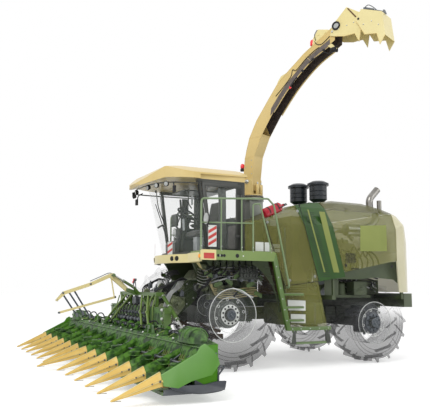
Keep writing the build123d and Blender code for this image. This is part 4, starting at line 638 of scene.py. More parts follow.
pipes = Piece("hydraulic_pipes", "pale_cream", 0)
for k in range(5):
    z = 1230 + 38 * k
    pipes.tube([(-900 + 30 * k, 760, z + 40), (-520, 790, z + 30), (-300, 830 - 12 * k, z),
        (-60, 830 - 12 * k, z), (80 + 20 * k, 800, z + 60), (140 + 24 * k, 780, z + 260)], 0.010, 8)
for k in range(3):
    pipes.tube([(-460, 700 + 30 * k, 1620), (-200, 720 + 30 * k, 1660 + 20 * k), (80, 760, 1640 + 30 * k),
        (300, 780, 1740), (360 + 20 * k, 700, 1860)], 0.012, 8)
loops = Piece("hydraulic_hoses", "black_rubber", 0)
for at in SIDES:
    for k in range(6):
        loops.tube([(-180 + 40 * k, 720, 1470), (-230 + 44 * k, 850 + 12 * k, 1600 + 18 * k),
            (-20 + 30 * k, 930 - 10 * k, 1700), (240 + 10 * k, 860, 1560 - 24 * k), (330 + 8 * k, 700, 1370),
            (300, 600, 1220 - 20 * k)], 0.015, 10, at)
    for k in range(4):
        loops.tube([(-620, 700 + 40 * k, 1240), (-440, 720 + 40 * k, 1330 + 20 * k),
            (-260, 720 + 30 * k, 1220), (-180, 640 + 20 * k, 1120)], 0.014, 10, at)
boxes = Piece("valve_stacks", "chassis_black", 0.004)
for at in SIDES:
    for k in range(6):
        x = -640 + 62 * k
        boxes.box((x, 1000, 1610), (x + 52, 1110, 1760), at)
        boxes.lathe(at(x + 26, 1055, 1760), Z, [(0, 20), (34, 20), (38, 12), (56, 12)], 12)
        boxes.lathe(at(x + 26, 1110, 1680), at.out, [(0, 16), (26, 16), (30, 9), (44, 9)], 12)
    boxes.box((-700, 990, 1570), (-240, 1120, 1608), at)
rings = Piece("drive_rings", "white_paint", 0.001)
for y in (705, -705):
    rings.ring(P(194, y, 1108), Y, [(-4, 196), (4, 196), (4, 188), (-4, 188)], 48)
    rings.ring(P(194, y, 1108), Y, [(-4, 60), (4, 60), (4, 54), (-4, 54)], 32)
studs = Piece("final_drive_bolts", "hub_grey", 0.001)
for at in SIDES:
    studs.bolts(at(0, 1156, 950), at.out, 200, 14, 10)

# Header drives: guard sheets, gearboxes, braces and drive lines over the hood


def gearbox(piece, x, y, z, size, tall):
    """Cast gearbox with a flange, a ribbed lid and a shaft stub; size and height in millimetres."""
    piece.lathe(P(x, y, z), Z, [(0, size * 1.25), (14, size * 1.28), (18, size), (tall * 0.7, size * 0.86),
        (tall * 0.72, size * 0.98), (tall * 0.8, size * 0.98), (tall, size * 0.45),
        (tall * 1.15, size * 0.3)], 26)
    for spot, way in around(P(x, y, z + 14), Z, size * 1.12, 8):
        piece.bolt(spot, Z, 8)
        across = Z.cross(way) * 0.004
        foot = spot - way * size * 0.18 / 1000
        top = foot + Z * tall * 0.6 / 1000 - way * size * 0.14 / 1000
        piece.prism([foot - across, foot + across, top + across, top - across], -way * size * 0.1 / 1000)


GEAR_ROWS = {"feeder": (-1180, -640, -220, 220, 640, 1180), "wing_left": (2000, 2560, 3060),
    "wing_right": (-2000, -2560, -3060)}
for body, rows in GEAR_ROWS.items():
    gears = Piece("drive_gearboxes_" + body, "ridge_green", 0.002, body)
    lines = Piece("drive_lines_" + body, "dark_steel", 0.001, body)
    feeds = Piece("drive_hoses_" + body, "black_rubber", 0, body)
    guards = Piece("drive_guards_" + body, "header_green", 0.003, body)
    for y in rows:
        gearbox(gears, 1460, y, 712, 74 if body == "feeder" else 62, 110)
        feeds.tube([(1460, y, 830), (1420, y + 30, 870), (1370, y + 90, 860), (1345, y + 160, 770),
            (1350, y + 230, 735)], 0.012, 8)
        feeds.tube([(1500, y - 40, 790), (1560, y - 110, 800), (1590, y - 200, 760), (1560, y - 270, 724)],
            0.010, 8)
    for a, b in zip(rows, rows[1:]):
        first, last = P(1460, a, 762), P(1460, b, 762)
        lines.bar([first, last], 0.017, 12)
        for share in (0.22, 0.5, 0.78):
            lines.lathe(first.lerp(last, share) - Y * 0.02, Y, [(0, 30), (40, 30)], 16)
        gap = b - a
        guard = ((0.3, 716), (0.7, 716), (0.64, 792), (0.36, 792))
        guards.prism([(1400, a + gap * share, z) for share, z in guard], X * 0.006)
        guards.tube([(1345, a + gap * 0.2, 730), (1372, a + gap * 0.5, 800), (1345, b - gap * 0.2, 730)],
            0.012, 8)

sheets = Piece("tower_guard_sheets", "header_green", 0.003, "feeder")
ribs = Piece("tower_braces", "beam_green", 0.003, "feeder")
for low, high in ((-1385, -505), (-415, 415), (505, 1385)):
    wide = high - low
    sheets.prism([(1322, low, 745), (1322, high, 745), (1322, high, 1000), (1322, high - wide * 0.18, 1085),
        (1322, low + wide * 0.18, 1085), (1322, low, 1000)], X * 0.005)
    for k in range(1, 6):
        y = low + k * wide / 6
        sheets.prism([(1327, y - 16, 775), (1341, y - 7, 785), (1341, y + 7, 785), (1327, y + 16, 775)],
            Z * 0.22)
for y0, y1 in ((300, 900), (620, 1240), (-300, -900), (-620, -1240)):
    ribs.bar([(1292, y0, 1268), (1420, (y0 + y1) / 2, 1000), (1500, y1, 760)], 0.020, 12)
    ribs.lathe(P(1420, (y0 + y1) / 2, 1000), Y, [(-26, 30), (26, 30)], 18)
for y in (-1000, -820, 820, 1000):
    ribs.bar([(1300, y, 1262), (1345, y, 1100), (1350, y, 760)], 0.012, 10)

drives = Piece("tower_drives", "dark_steel", 0.002, "feeder")
for k in range(8):
    y = -660 + 190 * k
    drives.lathe(P(1395, y, 860), Y, [(0, 34), (8, 46), (50, 46), (56, 30), (120, 26)], 22)
    drives.lathe(P(1375, y + 60, 980), X, [(0, 30), (36, 30), (44, 18), (60, 16)], 18)
hoses = Piece("tower_hoses", "black_rubber", 0, "feeder")
for k in range(10):
    y = -800 + 170 * k
    hoses.tube([(1330, y, 1120), (1390, y + 50, 1060), (1420, y + 110, 940), (1370, y + 190, 860),
        (1350, y + 240, 800)], 0.011, 8)

for at in (LEFT, RIGHT):
    body = "wing_" + at.name
    cover = Piece("wing_drive_cover_" + at.name, "header_green", 0.004, body)
    rings = []
    for y, size in ((2760, 0.3), (2840, 0.72), (2960, 0.94), (3120, 1.0), (3280, 0.94), (3400, 0.7),
            (3470, 0.3)):
        rings.append([at(1545 + 150 * size * math.cos(a), y, 690 + 190 * size * math.sin(a) ** 0.8)
            for a in [math.pi * k / 14 for k in range(15)]])
    cover.faces(rings)
    for y in (2960, 3120, 3280):
        cover.tube([at(1545 + 153 * math.cos(a), y, 692 + 192 * math.sin(a) ** 0.8)
            for a in [math.pi * k / 10 for k in range(1, 10)]], 0.010, 8)
    arms = Piece("wing_braces_" + at.name, "beam_green", 0.002, body)
    arms.tube([(1215, 2190, 600), (1340, 2350, 735), (1600, 2800, 712)], 0.016, 10, at)
    for y in (1780, 2260, 2700):
        arms.tube([(1330, y, 726), (1480, y + 40, 742), (1640, y + 60, 660)], 0.012, 8, at)
    slats = Piece("wing_feed_sheet_" + at.name, "duct_olive", 0.002, body)
    slats.prism([(1700, 1560, 540), (1700, 3300, 540), (1795, 3300, 300), (1795, 1560, 300)],
        Vector((0.004, 0, 0.002)), at)
    for k in range(28):
        y = 1590 + k * 60
        slats.prism([(1706, y, 538), (1706, y + 18, 538), (1800, y + 18, 304), (1800, y, 304)],
            Vector((0.006, 0, 0.003)), at)
    trim = Piece("divider_details_" + at.name, "dark_steel", 0.001, body)
    out = at.out
    for x, z in ((2205, 345), (1660, 690), (1500, 600), (1470, 480), (1600, 350), (1800, 320)):
        trim.bolt(at(x, 3749, z) - out * 0.012, out, 9)
    trim.tube([(1455, 3712, 330), (1440, 3714, 420), (1400, 3712, 440)], 0.010, 8, at)
    studs = Piece("divider_knobs_" + at.name, "point_yellow", 0.001, body)
    for x, z in ((2190, 262), (2120, 236), (2050, 222), (1980, 228), (2215, 300)):
        studs.lathe(at(x, 3728, z), out, [(0, 13), (14, 14), (20, 8)], 14)
    edge = Piece("crop_arm_edge_" + at.name, "arm_slate", 0.003, body)
    edge.tube([(2138, 3726, 240), (2010, 3726, 178), (1720, 3726, 124), (1420, 3726, 142),
        (1362, 3726, 200)], 0.012, 10, at)

# Cab: lamps, mirrors, wiper, plates, belt, seat and controls

visor = Piece("roof_trim", "cab_dark", 0.003)
visor.tube([(-440, 930, 3285), (420, 930, 3285), (900, 905, 3275), (1120, 720, 3274), (1240, 300, 3273),
    (1250, 0, 3273), (1240, -300, 3273), (1120, -720, 3274), (900, -905, 3275), (-440, -930, 3285)], 0.012,
    8)
visor.box((-300, 905, 3305), (420, 952, 3345))

black = Piece("work_lamp_bodies", "black_rubber", 0.003)
glass = Piece("work_lamp_glass", "lamp_glass", 0.001)
# Place and facing of each work lamp
LAMPS = [((1180, 640, 3232), (0.9, 0.45, -0.15)), ((1230, 330, 3232), (1, 0.15, -0.15)),
         ((1180, -640, 3232), (0.9, -0.45, -0.15)), ((1230, -330, 3232), (1, -0.15, -0.15)),
         ((1090, 880, 3234), (0.75, 0.65, -0.15)), ((1090, -880, 3234), (0.75, -0.65, -0.15)),
         ((-440, 700, 3300), (-1, 0.2, -0.2)), ((-440, -700, 3300), (-1, -0.2, -0.2))]
for point, facing in LAMPS:
    way = Vector(facing).normalized()
    spot = P(*point)
    black.lathe(spot - way * 0.04, way, [(0, 20), (4, 34), (30, 44), (62, 47), (66, 44), (60, 40)], 22)
    black.tube([spot - way * 0.02, spot + Z * 0.055], 0.007, 8)
    glass.lathe(spot + way * 0.018, way, [(0, 41), (5, 36), (7, 20), (7, 2)], 22)

belt = Piece("belt_lamps", "black_rubber", 0.001)
amber = Piece("belt_markers", "amber", 0.001)
BELT_RADIUS = 1436.5
for at in SIDES:
    for y in (450, 570):
        reach = math.sqrt(BELT_RADIUS ** 2 - y ** 2)
        way = (X * reach + at.out * y).normalized()
        spot = at(859 - BELT_RADIUS + reach, y, 1940)
        belt.lathe(spot - way * 0.006, way, [(0, 44), (14, 44), (16, 36), (10, 34), (10, 26), (15, 24),
            (15, 2)], 26)
    amber.lathe(at(700 if at is LEFT else 60, 1468, 1950), X, [(0, 34), (14, 34), (20, 26), (22, 4)], 22)

plate = Piece("belt_plate", "plate_red", 0.002)
plate.prism([(650, 1384, 1902), (650, 1384, 1985), (650, 1120, 1985), (650, 1120, 1902)], X * 0.004)
plate.box((440, 1503, 1908), (640, 1505, 2005))
wrap = Piece("belt_side_wrap", "pale_cream", 0.003)
wrap.prism([(405, 1500.5, 1886), (703, 1500.5, 1886), (703, 1500.5, 2040), (680, 1500.5, 2062),
    (405, 1500.5, 2062)], Y * 0.0022)
marks = Piece("beam_fittings", "black_rubber", 0.001)
for x in (365, 300, 250):
    marks.lathe(P(x, 1499, 1966), Y, [(0, 26), (4, 26), (5, 18), (5, 2)], 20)
marks.lathe(P(-2, 1499, 1969), Y, [(0, 34), (3, 36), (5, 30), (4, 14), (6, 2)], 26)
knob = Piece("beam_knobs", "white_paint", 0.002)
for x in (330, -120):
    knob.lathe(P(x, 1495, 1968), Y, [(0, 14), (5, 14), (6.5, 9), (6.5, 2)], 20)
for x in range(-700, 640, 220):
    knob.lathe(P(x, 1493, 1905), Y, [(0, 7), (5, 7), (6, 4)], 10)

stripes = Piece("striped_plates", "white_paint", 0.001)
bars = Piece("plate_stripes", "plate_red", 0)
WIDE, LOW, HIGH = 80, 2110, 2480
for at, x in ((LEFT, 475), (RIGHT, -110)):
    stripes.prism([(x - WIDE, 1488, LOW), (x + WIDE, 1488, LOW), (x + WIDE, 1488, HIGH),
        (x - WIDE, 1488, HIGH)], at.out * 0.003, at)
    for z in (2130, 2235, 2340):
        bars.prism([(x - WIDE + 4, 1491.4, z + 80), (x + WIDE - 4, 1491.4, z - 10),
            (x + WIDE - 4, 1491.4, z + 45), (x - WIDE + 4, 1491.4, z + 135)], at.out * 0.0012, at)
for at in (LEFT, RIGHT):
    stripes.prism([(824, 330, 2016), (779, 450, 2016), (779, 450, 2250), (824, 330, 2250)],
        X * 0.003 + at.out * 0.001, at)
    for z in (2030, 2146):
        bars.prism([(828, 330, z), (828, 330, z + 44), (783, 450, z + 104), (783, 450, z + 60)], X * 0.0015,
            at)

mirrors = Piece("mirror_arms", "black_rubber", 0.002)
faces = Piece("mirror_faces", "steel", 0.001)
for at, x in ((LEFT, 573), (RIGHT, -60)):
    mirrors.tube([(x - 60, 1478, 2420), (x - 10, 1484, 2470), (x, 1482, 2540)], 0.010, 8, at)
    mirrors.lathe(at(x - 18, 1478, 2588), X, [(0, 40), (12, 92), (30, 104), (36, 104)], 32)
    faces.lathe(at(x + 16, 1478, 2588), X, [(0, 98), (4, 98), (5, 90), (5, 2)], 32)
for at in SIDES:
    mirrors.tube([(940, 800, 3290), (980, 930, 3260), (985, 985, 3190)], 0.011, 10, at)
    mirrors.faces([[at(x, y, z) for y, z in ((960, 3070), (1050, 3075), (1056, 3190), (966, 3196))]
        for x in (975, 1008)])
    faces.faces([[at(x, y, z) for y, z in ((968, 3078), (1042, 3083), (1047, 3182), (973, 3188))]
        for x in (972, 974)])

wiper = Piece("wiper", "black_rubber", 0.001)
wiper.tube([(960, 40, 3205), (930, 90, 2900), (868, 240, 2600)], 0.009, 8)
wiper.bar([(1006, 130, 2960), (855, 330, 2330)], 0.008, 8)
wiper.lathe(P(968, 40, 3215), X, [(-8, 26), (14, 24), (20, 10)], 16)

seals = Piece("window_seals", "black_rubber", 0.001)
for at in SIDES:
    seals.tube([(322, 932, 2075), (400, 934, 2560), (505, 934, 3262)], 0.008, 8, at)
    seals.bar([(-430, 934, 2100), (-430, 934, 3240)], 0.008, 8, at)

handle = Piece("door_fittings", "black_rubber", 0.002, "door")
handle.tube([(300, 992, 2330), (300, 1016, 2345), (315, 1016, 2560), (315, 992, 2575)], 0.010, 10)
handle.lathe(P(318, 986, 2640), Y, [(0, 26), (12, 26), (16, 18), (24, 16)], 20)
handle.bar([(-330, 989, 2120), (-330, 989, 3240)], 0.007, 8)

lining = Piece("cab_lining", "cab_dark", 0.01)
lining.prism([(-430, -880, 2075), (-430, 860, 2075), (-430, 860, 2620), (-430, 600, 2740),
    (-430, -600, 2740), (-430, -880, 2620)], X * 0.05)
lining.box((-380, 560, 2062), (-200, 850, 2480))
lining.box((-380, -860, 2062), (-160, -560, 2560))
lining.faces([[P(560, y, 2062), P(640, y, 2062), P(650, y, 2240), P(600, y, 2300), P(560, y, 2240)]
    for y in (-240, -120, 120, 240)])
lining.tube([(420, -860, 2640), (520, -760, 2660), (640, -700, 2600)], 0.018, 10)
lining.box((-300, -300, 3240), (500, 300, 3266))
lining.tube([(500, 520, 3240), (520, 560, 2980), (470, 600, 2860)], 0.012, 8)
screens = Piece("cab_screens", "hub_grey", 0.006)
screens.prism([(590, 470, 2460), (640, 620, 2450), (655, 620, 2660), (605, 470, 2670)],
    Vector((-0.03, 0.006, 0)))
screens.prism([(470, 560, 2930), (520, 700, 2930), (525, 700, 3080), (475, 560, 3080)],
    Vector((-0.03, 0.006, 0)))
screens.box((300, 610, 2080), (440, 760, 2330))
levers = Piece("cab_levers", "black_rubber", 0.002)
levers.tube([(60, -420, 2560), (90, -420, 2640), (80, -420, 2720)], 0.016, 10)
levers.lathe(P(78, -420, 2700), Vector((-0.1, 0, 1)), [(0, 14), (10, 28), (60, 34), (86, 26), (92, 8)], 18)
levers.tube([(480, 0, 2100), (440, 0, 2440), (330, 0, 2780)], 0.030, 12)
for k in range(4):
    levers.lathe(P(-40 + 40 * k, -480, 2560), Z, [(0, 12), (8, 12), (12, 8), (26, 8)], 12)
levers.tube([(700, 500, 2600), (640, 540, 2780), (560, 560, 2900), (520, 560, 3000)], 0.012, 8)
for k in range(3):
    levers.lathe(P(610 - 24 * k, 546, 2700 + 80 * k), X, [(-14, 28), (12, 28), (16, 20)], 14)

wheel_rim = Piece("steering_wheel_grip", "black_rubber", 0)
hub = P(300, 0, 2830)
tilt = Vector((-0.5, 0, 0.86)).normalized()
loop = [spot for spot, _ in around(hub, tilt, 200, 24)]
wheel_rim.bar(loop + loop[:1], 0.017, 10)
for spot, way in around(hub, tilt, 190, 3):
    wheel_rim.bar([hub, spot], 0.011, 8)


def cushion(name, low, high, crown):
    """Crowned cushion between two layout corners, its sides drawn in between them and its top grooved."""
    (x0, y0, z0), (x1, y1, z1) = low, high
    pad = Piece(name, "seat_grey", 0)
    n = 14
    for top in (0, 1):
        grid = []
        for i in range(n + 1):
            u = 2 * i / n - 1
            for j in range(n + 1):
                v = 2 * j / n - 1
                x = (x0 + x1) / 2 + u * (x1 - x0) / 2 * (1 - 0.06 * (1 - u * u) - 0.05 * (1 - v * v))
                y = (y0 + y1) / 2 + v * (y1 - y0) / 2 * (1 - 0.05 * (1 - u * u))
                swell = (1 - u ** 4) * (1 - v ** 4)
                groove = 9 * math.exp(-((abs(v) - 0.5) / 0.06) ** 2) + 7 * math.exp(-((u + 0.1) / 0.06) ** 2)
                z = z1 - crown + crown * swell - groove * swell if top else z0 + 4 * (1 - swell)
                grid.append(P(x, y, z))
        verts = [pad.bm.verts.new(p) for p in grid]
        for i in range(n):
            for j in range(n):
                a = i * (n + 1) + j
                pad.bm.faces.new((verts[a], verts[a + n + 1], verts[a + n + 2], verts[a + 1]))
    pad.bm.verts.ensure_lookup_table()
    half = (n + 1) ** 2
    rim_index = (list(range(n + 1)) + [i * (n + 1) + n for i in range(1, n + 1)] + [n * (n + 1) + j
        for j in range(n - 1, -1, -1)] + [i * (n + 1) for i in range(n - 1, 0, -1)])
    for a, b in zip(rim_index, rim_index[1:] + rim_index[:1]):
        pad.bm.faces.new((pad.bm.verts[a], pad.bm.verts[b], pad.bm.verts[half + b], pad.bm.verts[half + a]))
    return pad


seat_base = Piece("seat_suspension", "cab_dark", 0.004)
for k in range(5):
    z = 2075 + 60 * k
    size = 150 - 10 * (k % 2)
    seat_base.faces([[P(-30 + size * a, size * b, h) for a, b in ((-1, -1), (1, -1), (1, 1), (-1, 1))]
        for h in (z, z + 30)])
seat_base.box((-200, -190, 2378), (170, 190, 2396))
for at in SIDES:
    seat_base.prism([(-210, 262, 2600), (60, 262, 2600), (110, 262, 2650), (60, 262, 2672),
        (-230, 262, 2672)], at.out * 0.045, at)
bottom = cushion("seat_cushion", (-230, -238, 2404), (232, 238, 2532), 46)
bottom_obj = bottom.done(70)
back_pad = cushion("seat_backrest", (2530, -236, 140), (3120, 236, 258), 44)
# The backrest is made lying down, then stood up and leaned back a little
foot = P(-170, 0, 2520)
c, s = math.cos(math.radians(80)), math.sin(math.radians(80))
for vert in back_pad.bm.verts:
    along = vert.co.x - P(2530, 0, 0).x
    depth = vert.co.z - 0.140
    vert.co = foot + Vector((-c * along - s * 0.13 + s * depth, vert.co.y, s * along + c * depth))
back_obj = back_pad.done(70)
for obj in (bottom_obj, back_obj):
    soft = obj.modifiers.new("soft", "SUBSURF")
    soft.levels = 2
    soft.render_levels = 2
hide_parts("seat")

# Wheel arch sheets and the webs behind the front wheels

arch = Piece("wheel_arch_sheets", "deep_green", 0.003)
for at in SIDES:
    curve = [at(1012 * math.cos(a), 1192, 950 + 1012 * math.sin(a))
        for a in [math.radians(178 - 5.5 * k) for k in range(12)]]
    arch.prism(curve + [at(-480, 1192, 1985), at(-770, 1192, 1985), at(-1075, 1192, 985)], at.out * 0.004)
    for k in range(5):
        z = 1180 + 150 * k
        arch.tube([(-1030 + 45 * k, 1200, z), (-900 + 45 * k, 1202, z + 20)], 0.009, 8, at)
for y in (-560, 540):
    arch.prism([(-950, y, 1070), (-230, y, 1070), (180, y, 1290), (330, y, 1560), (460, y, 1990),
        (-950, y, 1990)], Y * 0.006)
casts = Piece("arch_castings", "sand_cast", 0.004)
tubes = Piece("arch_pipes", "steel", 0)
dark = Piece("arch_units", "dark_steel", 0.003)
leads = Piece("arch_hoses", "black_rubber", 0)
for at in SIDES:
    out = at.out
    for x, z, r in ((-620, 1500, 82), (-410, 1700, 64), (-150, 1760, 74), (120, 1700, 58), (300, 1790, 50)):
        casts.lathe(at(x, 640, z), out, [(0, r), (60, r), (70, r * 0.8), (150, r * 0.74), (156, r * 0.95),
            (176, r * 0.95), (182, r * 0.5), (220, r * 0.4)], 26)
        casts.bolts(at(x, 816, z), out, r * 0.8, 6, 8)
    for x, z in ((-760, 1720), (-640, 1820), (-520, 1560), (-300, 1560), (-40, 1600), (210, 1620)):
        dark.lathe(at(x, 1000, z), out, [(0, 34), (50, 34), (56, 26), (90, 24), (94, 34), (110, 34)], 18)
        dark.bolt(at(x, 1110, z), out, 14)
    for k in range(6):
        z = 1540 + 52 * k
        tubes.tube([(-860, 880 + 18 * k, z - 60), (-600, 900 + 16 * k, z), (-250, 900 + 14 * k, z + 30),
            (60, 880 + 10 * k, z + 20), (300, 840, z - 80), (420, 760, z - 40)], 0.008, 8, at)
    for k in range(9):
        x = -820 + 130 * k
        leads.tube([(x, 1010, 1930), (x + 20, 1070, 1800 - 20 * (k % 3)), (x + 90, 1100, 1700),
            (x + 170, 1040, 1640 + 30 * (k % 2)), (x + 210, 960, 1720)], 0.014, 8, at)

# Engine bay behind the see-through panels

engine = Piece("engine_details", "sand_cast", 0.004)
for at in SIDES:
    for k in range(6):
        x = -3240 + 165 * k
        engine.box((x, 180, 2361), (x + 130, 430, 2440), at)
        engine.lathe(at(x + 65, 300, 2440), Z, [(0, 34), (26, 32), (30, 20), (44, 18)], 18)
        engine.lathe(at(x + 65, 621, 1980), at.out, [(0, 46), (30, 46), (40, 34), (60, 30)], 20)
    engine.tube([(-3290, 690, 2080), (-3000, 720, 2120), (-2600, 720, 2120), (-2330, 690, 2080)], 0.062, 16,
        at)
    engine.lathe(at(-2420, 760, 2230), X, [(-70, 60), (-50, 130), (0, 150), (50, 130), (70, 60), (110, 52)],
        30)
engine.box((-3360, -560, 1400), (-3330, 560, 1900))
block = Piece("engine_block_ribs", "deep_green", 0.003)
for at in SIDES:
    for k in range(12):
        x = -3300 + 88 * k
        block.box((x, 621, 1340), (x + 26, 650, 1760), at)
    for k in range(5):
        block.lathe(at(-3200 + 210 * k, 660, 1620), at.out, [(0, 56), (60, 56), (66, 44), (120, 42)], 22)
    block.box((-3320, 700, 1240), (-2380, 1000, 1290), at)
    block.box((-3180, 820, 1292), (-2860, 1060, 1560), at)
    block.lathe(at(-2640, 900, 1292), Z, [(0, 96), (220, 96), (232, 80), (250, 40)], 28)
pale = Piece("engine_pipes", "steel", 0)
for at in SIDES:
    pale.tube([(-2440, 760, 2350), (-2500, 790, 2520), (-2700, 760, 2600), (-3000, 700, 2560),
        (-3200, 620, 2440)], 0.050, 16, at)
    pale.tube([(-2360, 780, 2180), (-2180, 840, 2060), (-2060, 860, 1820), (-2020, 820, 1540)], 0.044, 14,
        at)
    for k in range(5):
        pale.tube([(-3260 + 120 * k, 640, 1900), (-3240 + 120 * k, 760, 1860), (-3180 + 120 * k, 800, 1700),
            (-3140 + 120 * k, 760, 1555)], 0.013, 8, at)
pale.tube([(-3200, 900, 2640), (-3400, 960, 2700), (-3540, 960, 2840), (-3560, 900, 2950)], 0.072, 18)
pale.lathe(P(-3060, 880, 2600), X, [(-260, 60), (-240, 120), (0, 124), (240, 120), (260, 60)], 30)
wires = Piece("engine_hoses", "black_rubber", 0)
for at in SIDES:
    for k in range(12):
        x = -3560 + 140 * k
        wires.tube([(x, 940, 1780), (x + 40, 1040, 1900 + 40 * (k % 3)), (x + 120, 1060, 2060),
            (x + 200, 980, 2160 + 30 * (k % 4)), (x + 220, 860, 2060)], 0.017, 8, at)
    for k in range(6):
        wires.tube([(-3620, 820 + 30 * k, 1500 + 60 * k), (-3300, 960 + 14 * k, 1560 + 50 * k),
            (-2900, 980 + 14 * k, 1565 + 40 * k), (-2500, 940 + 14 * k, 1580 + 40 * k)], 0.014, 8, at)
belts = Piece("engine_pulleys", "hub_grey", 0.002)
for at in SIDES:
    out = at.out
    for x, z, r in ((-2150, 1640, 150), (-2120, 2020, 110), (-2240, 1330, 90)):
        belts.lathe(at(x, 880, z), out, [(0, r), (10, r + 6), (24, r - 8), (38, r + 6), (48, r),
            (48, r * 0.3), (60, r * 0.28)], 36)
        belts.bolts(at(x, 930, z), out, r * 0.55, 6, 9)
rubber = Piece("drive_belts", "black_rubber", 0.001)
for at in SIDES:
    for y in (892, 908):
        for a, b in (((-2295, 1640), (-2230, 2020)), ((-2005, 1640), (-2012, 2020)),
                ((-2290, 1600), (-2322, 1340)), ((-2010, 1600), (-2152, 1310))):
            rubber.bar([(a[0], y, a[1]), (b[0], y, b[1])], 0.009, 6, at)

# Radiator grilles, fan shrouds and the column behind the quarter panel

grille = Piece("radiator_fins", "fan_bronze", 0)
for at in SIDES:
    for k in range(34):
        z = 1340 + 43 * k
        grille.box((-1474, 60, z), (-1470, 900, z + 12), at)
        grille.box((-1840, 60, z), (-1836, 900, z + 12), at)
for at in SIDES:
    grille.ring(at(-1479, 440, 2180), X, [(0, 398), (60, 404), (74, 420), (60, 436), (0, 436)], 48)
screen = Piece("rotary_screens", "fan_bronze", 0.001)
for at in SIDES:
    for x in (-1760, -1290):
        screen.prism([at(x + 165 * math.cos(a), 1010, 2180 + 460 * math.sin(a)) for a in full_turn(36)],
            at.out * 0.008)
        for k in range(9):
            z = 1760 + 96 * k
            half = 142 * math.sqrt(max(0.05, 1 - ((z - 2150) / 480) ** 2))
            screen.bar([(x - half, 1022, z), (x + half, 1022, z)], 0.004, 6, at)
column = Piece("oil_cooler", "radiator_bronze", 0.006)
for at in SIDES:
    column.box((-1000, 1090, 2240), (-860, 1160, 2560), at)
    for k in range(6):
        column.box((-994 + 24 * k, 1160, 2250), (-986 + 24 * k, 1166, 2550), at)
caps = Piece("cooler_caps", "hub_grey", 0.006)
for at in SIDES:
    caps.box((-1000, 1090, 2561), (-860, 1162, 2680), at)
    caps.lathe(at(-930, 1126, 2680), Z, [(0, 34), (20, 34), (24, 24), (40, 22)], 18)
plates = Piece("pale_boxes", "white_paint", 0.006)
for at in SIDES:
    for low, high in (((-1080, 2078), (-800, 2140)), ((-1080, 2155), (-800, 2225)),
            ((-1590, 1024), (-1230, 1190)), ((-1590, 790), (-1268, 945))):
        plates.box((low[0], 1140, low[1]), (high[0], 1168, high[1]), at)

# Bodywork: seams, grilles, ducts, handles and the bare plates

seams = Piece("panel_seams", "black_rubber", 0)
for at in SIDES:
    y = PANEL_Y + 1
    seams.bar([(-602, y, 2640), (-602, y, 2704), (-835, y, 2050), (-1040, y, 1470)], 0.005, 6, at)
    seams.bar([(-1360, y, 2900), (-1364, y, 2990), (-1788, y, 1560)], 0.006, 6, at)
    seams.bar([(-1045, y, 1462), (-1400, y, 1500), (-1790, y, 1556)], 0.006, 6, at)

for at in (LEFT, RIGHT):
    hatch = "side_hatch_" + at.name
    grip = Piece("hatch_fittings_" + at.name, "black_rubber", 0.002, hatch)
    out = at.out
    grip.tube([(-2560, PANEL_Y + 3, 1790), (-2560, PANEL_Y + 28, 1796), (-2700, PANEL_Y + 28, 1800),
        (-2700, PANEL_Y + 3, 1796)], 0.009, 8, at)
    for x in (-2420, -3560):
        grip.ring(at(x, PANEL_Y, 1860), out, [(0, 30), (4, 30), (4, 20), (0, 20)], 20)
        grip.lathe(at(x, PANEL_Y, 1860), out, [(0, 16), (5, 16), (6, 10)], 16)
    plate = Piece("hatch_plate_" + at.name, "plate_green", 0.003, hatch)
    plate.prism([(-2790, PANEL_Y + 0.6, 2640), (-3445, PANEL_Y + 0.6, 2680), (-3445, PANEL_Y + 0.6, 2160),
        (-2773, PANEL_Y + 0.6, 2140)], out * 0.0024, at)
    slots = Piece("hatch_grille_" + at.name, "black_rubber", 0, hatch)
    for k in range(15):
        z = 1905 + 13 * k
        slots.prism([(-2420, PANEL_Y + 0.4, z), (-2660, PANEL_Y + 0.4, z + 6),
            (-2660, PANEL_Y + 0.4, z + 11), (-2420, PANEL_Y + 0.4, z + 5)], out * 0.002, at)
    duct = Piece("band_duct_" + at.name, "plate_green", 0.004)
    for head, top, foot, wide in ((-1545, 2880, -1905, 34), (-1815, 2860, -2130, 132)):
        duct.prism([(head, PANEL_Y + 1, top), (head - wide, PANEL_Y + 1, top),
            (foot - wide, PANEL_Y + 1, 1720), (foot, PANEL_Y + 1, 1720)], out * 0.003, at)
    mesh = Piece("band_screen_" + at.name, "black_rubber", 0)
    for k in range(34):
        z = 1640 + 36 * k
        shift = (z - 1560) * 0.297
        mesh.prism([(-1840 + shift, PANEL_Y + 0.6, z), (-2080 + shift, PANEL_Y + 0.6, z),
            (-2080 + shift, PANEL_Y + 0.6, z + 7), (-1840 + shift, PANEL_Y + 0.6, z + 7)], out * 0.0016, at)
    light = Piece("panel_fittings_" + at.name, "hub_grey", 0.002)
    for x, z in ((-1150, 1560), (-1700, 1640), (-680, 2600), (-1330, 2840)):
        light.ring(at(x, PANEL_Y, z), out, [(0, 26), (4, 26), (4, 18), (0, 18)], 20)
        light.lathe(at(x, PANEL_Y, z), out, [(0, 13), (5, 13), (6, 8)], 14)

tail = Piece("tail_lamps", "red_lamp", 0.002, "tail_hood")
clear = Piece("tail_grilles", "dark_steel", 0.002, "tail_hood")
for at in SIDES:
    for z in (1600, 1740):
        tail.lathe(at(-4199, 900, z), -X, [(0, 44), (12, 42), (20, 30), (22, 3)], 22)
for k in range(16):
    z = 1960 + 34 * k
    clear.prism([(-4201, -620, z), (-4201, 620, z), (-4206, 620, z + 14), (-4206, -620, z + 14)],
        Vector((0.004, 0, 0.006)))
clear.bar([(-4203, -660, 1930), (-4203, 660, 1930), (-4203, 660, 2520), (-4203, -660, 2520),
    (-4203, -660, 1930)], 0.008, 8)
clear.tube([(-4200, -160, 1430), (-4228, -150, 1430), (-4228, 150, 1430), (-4200, 160, 1430)], 0.010, 8)

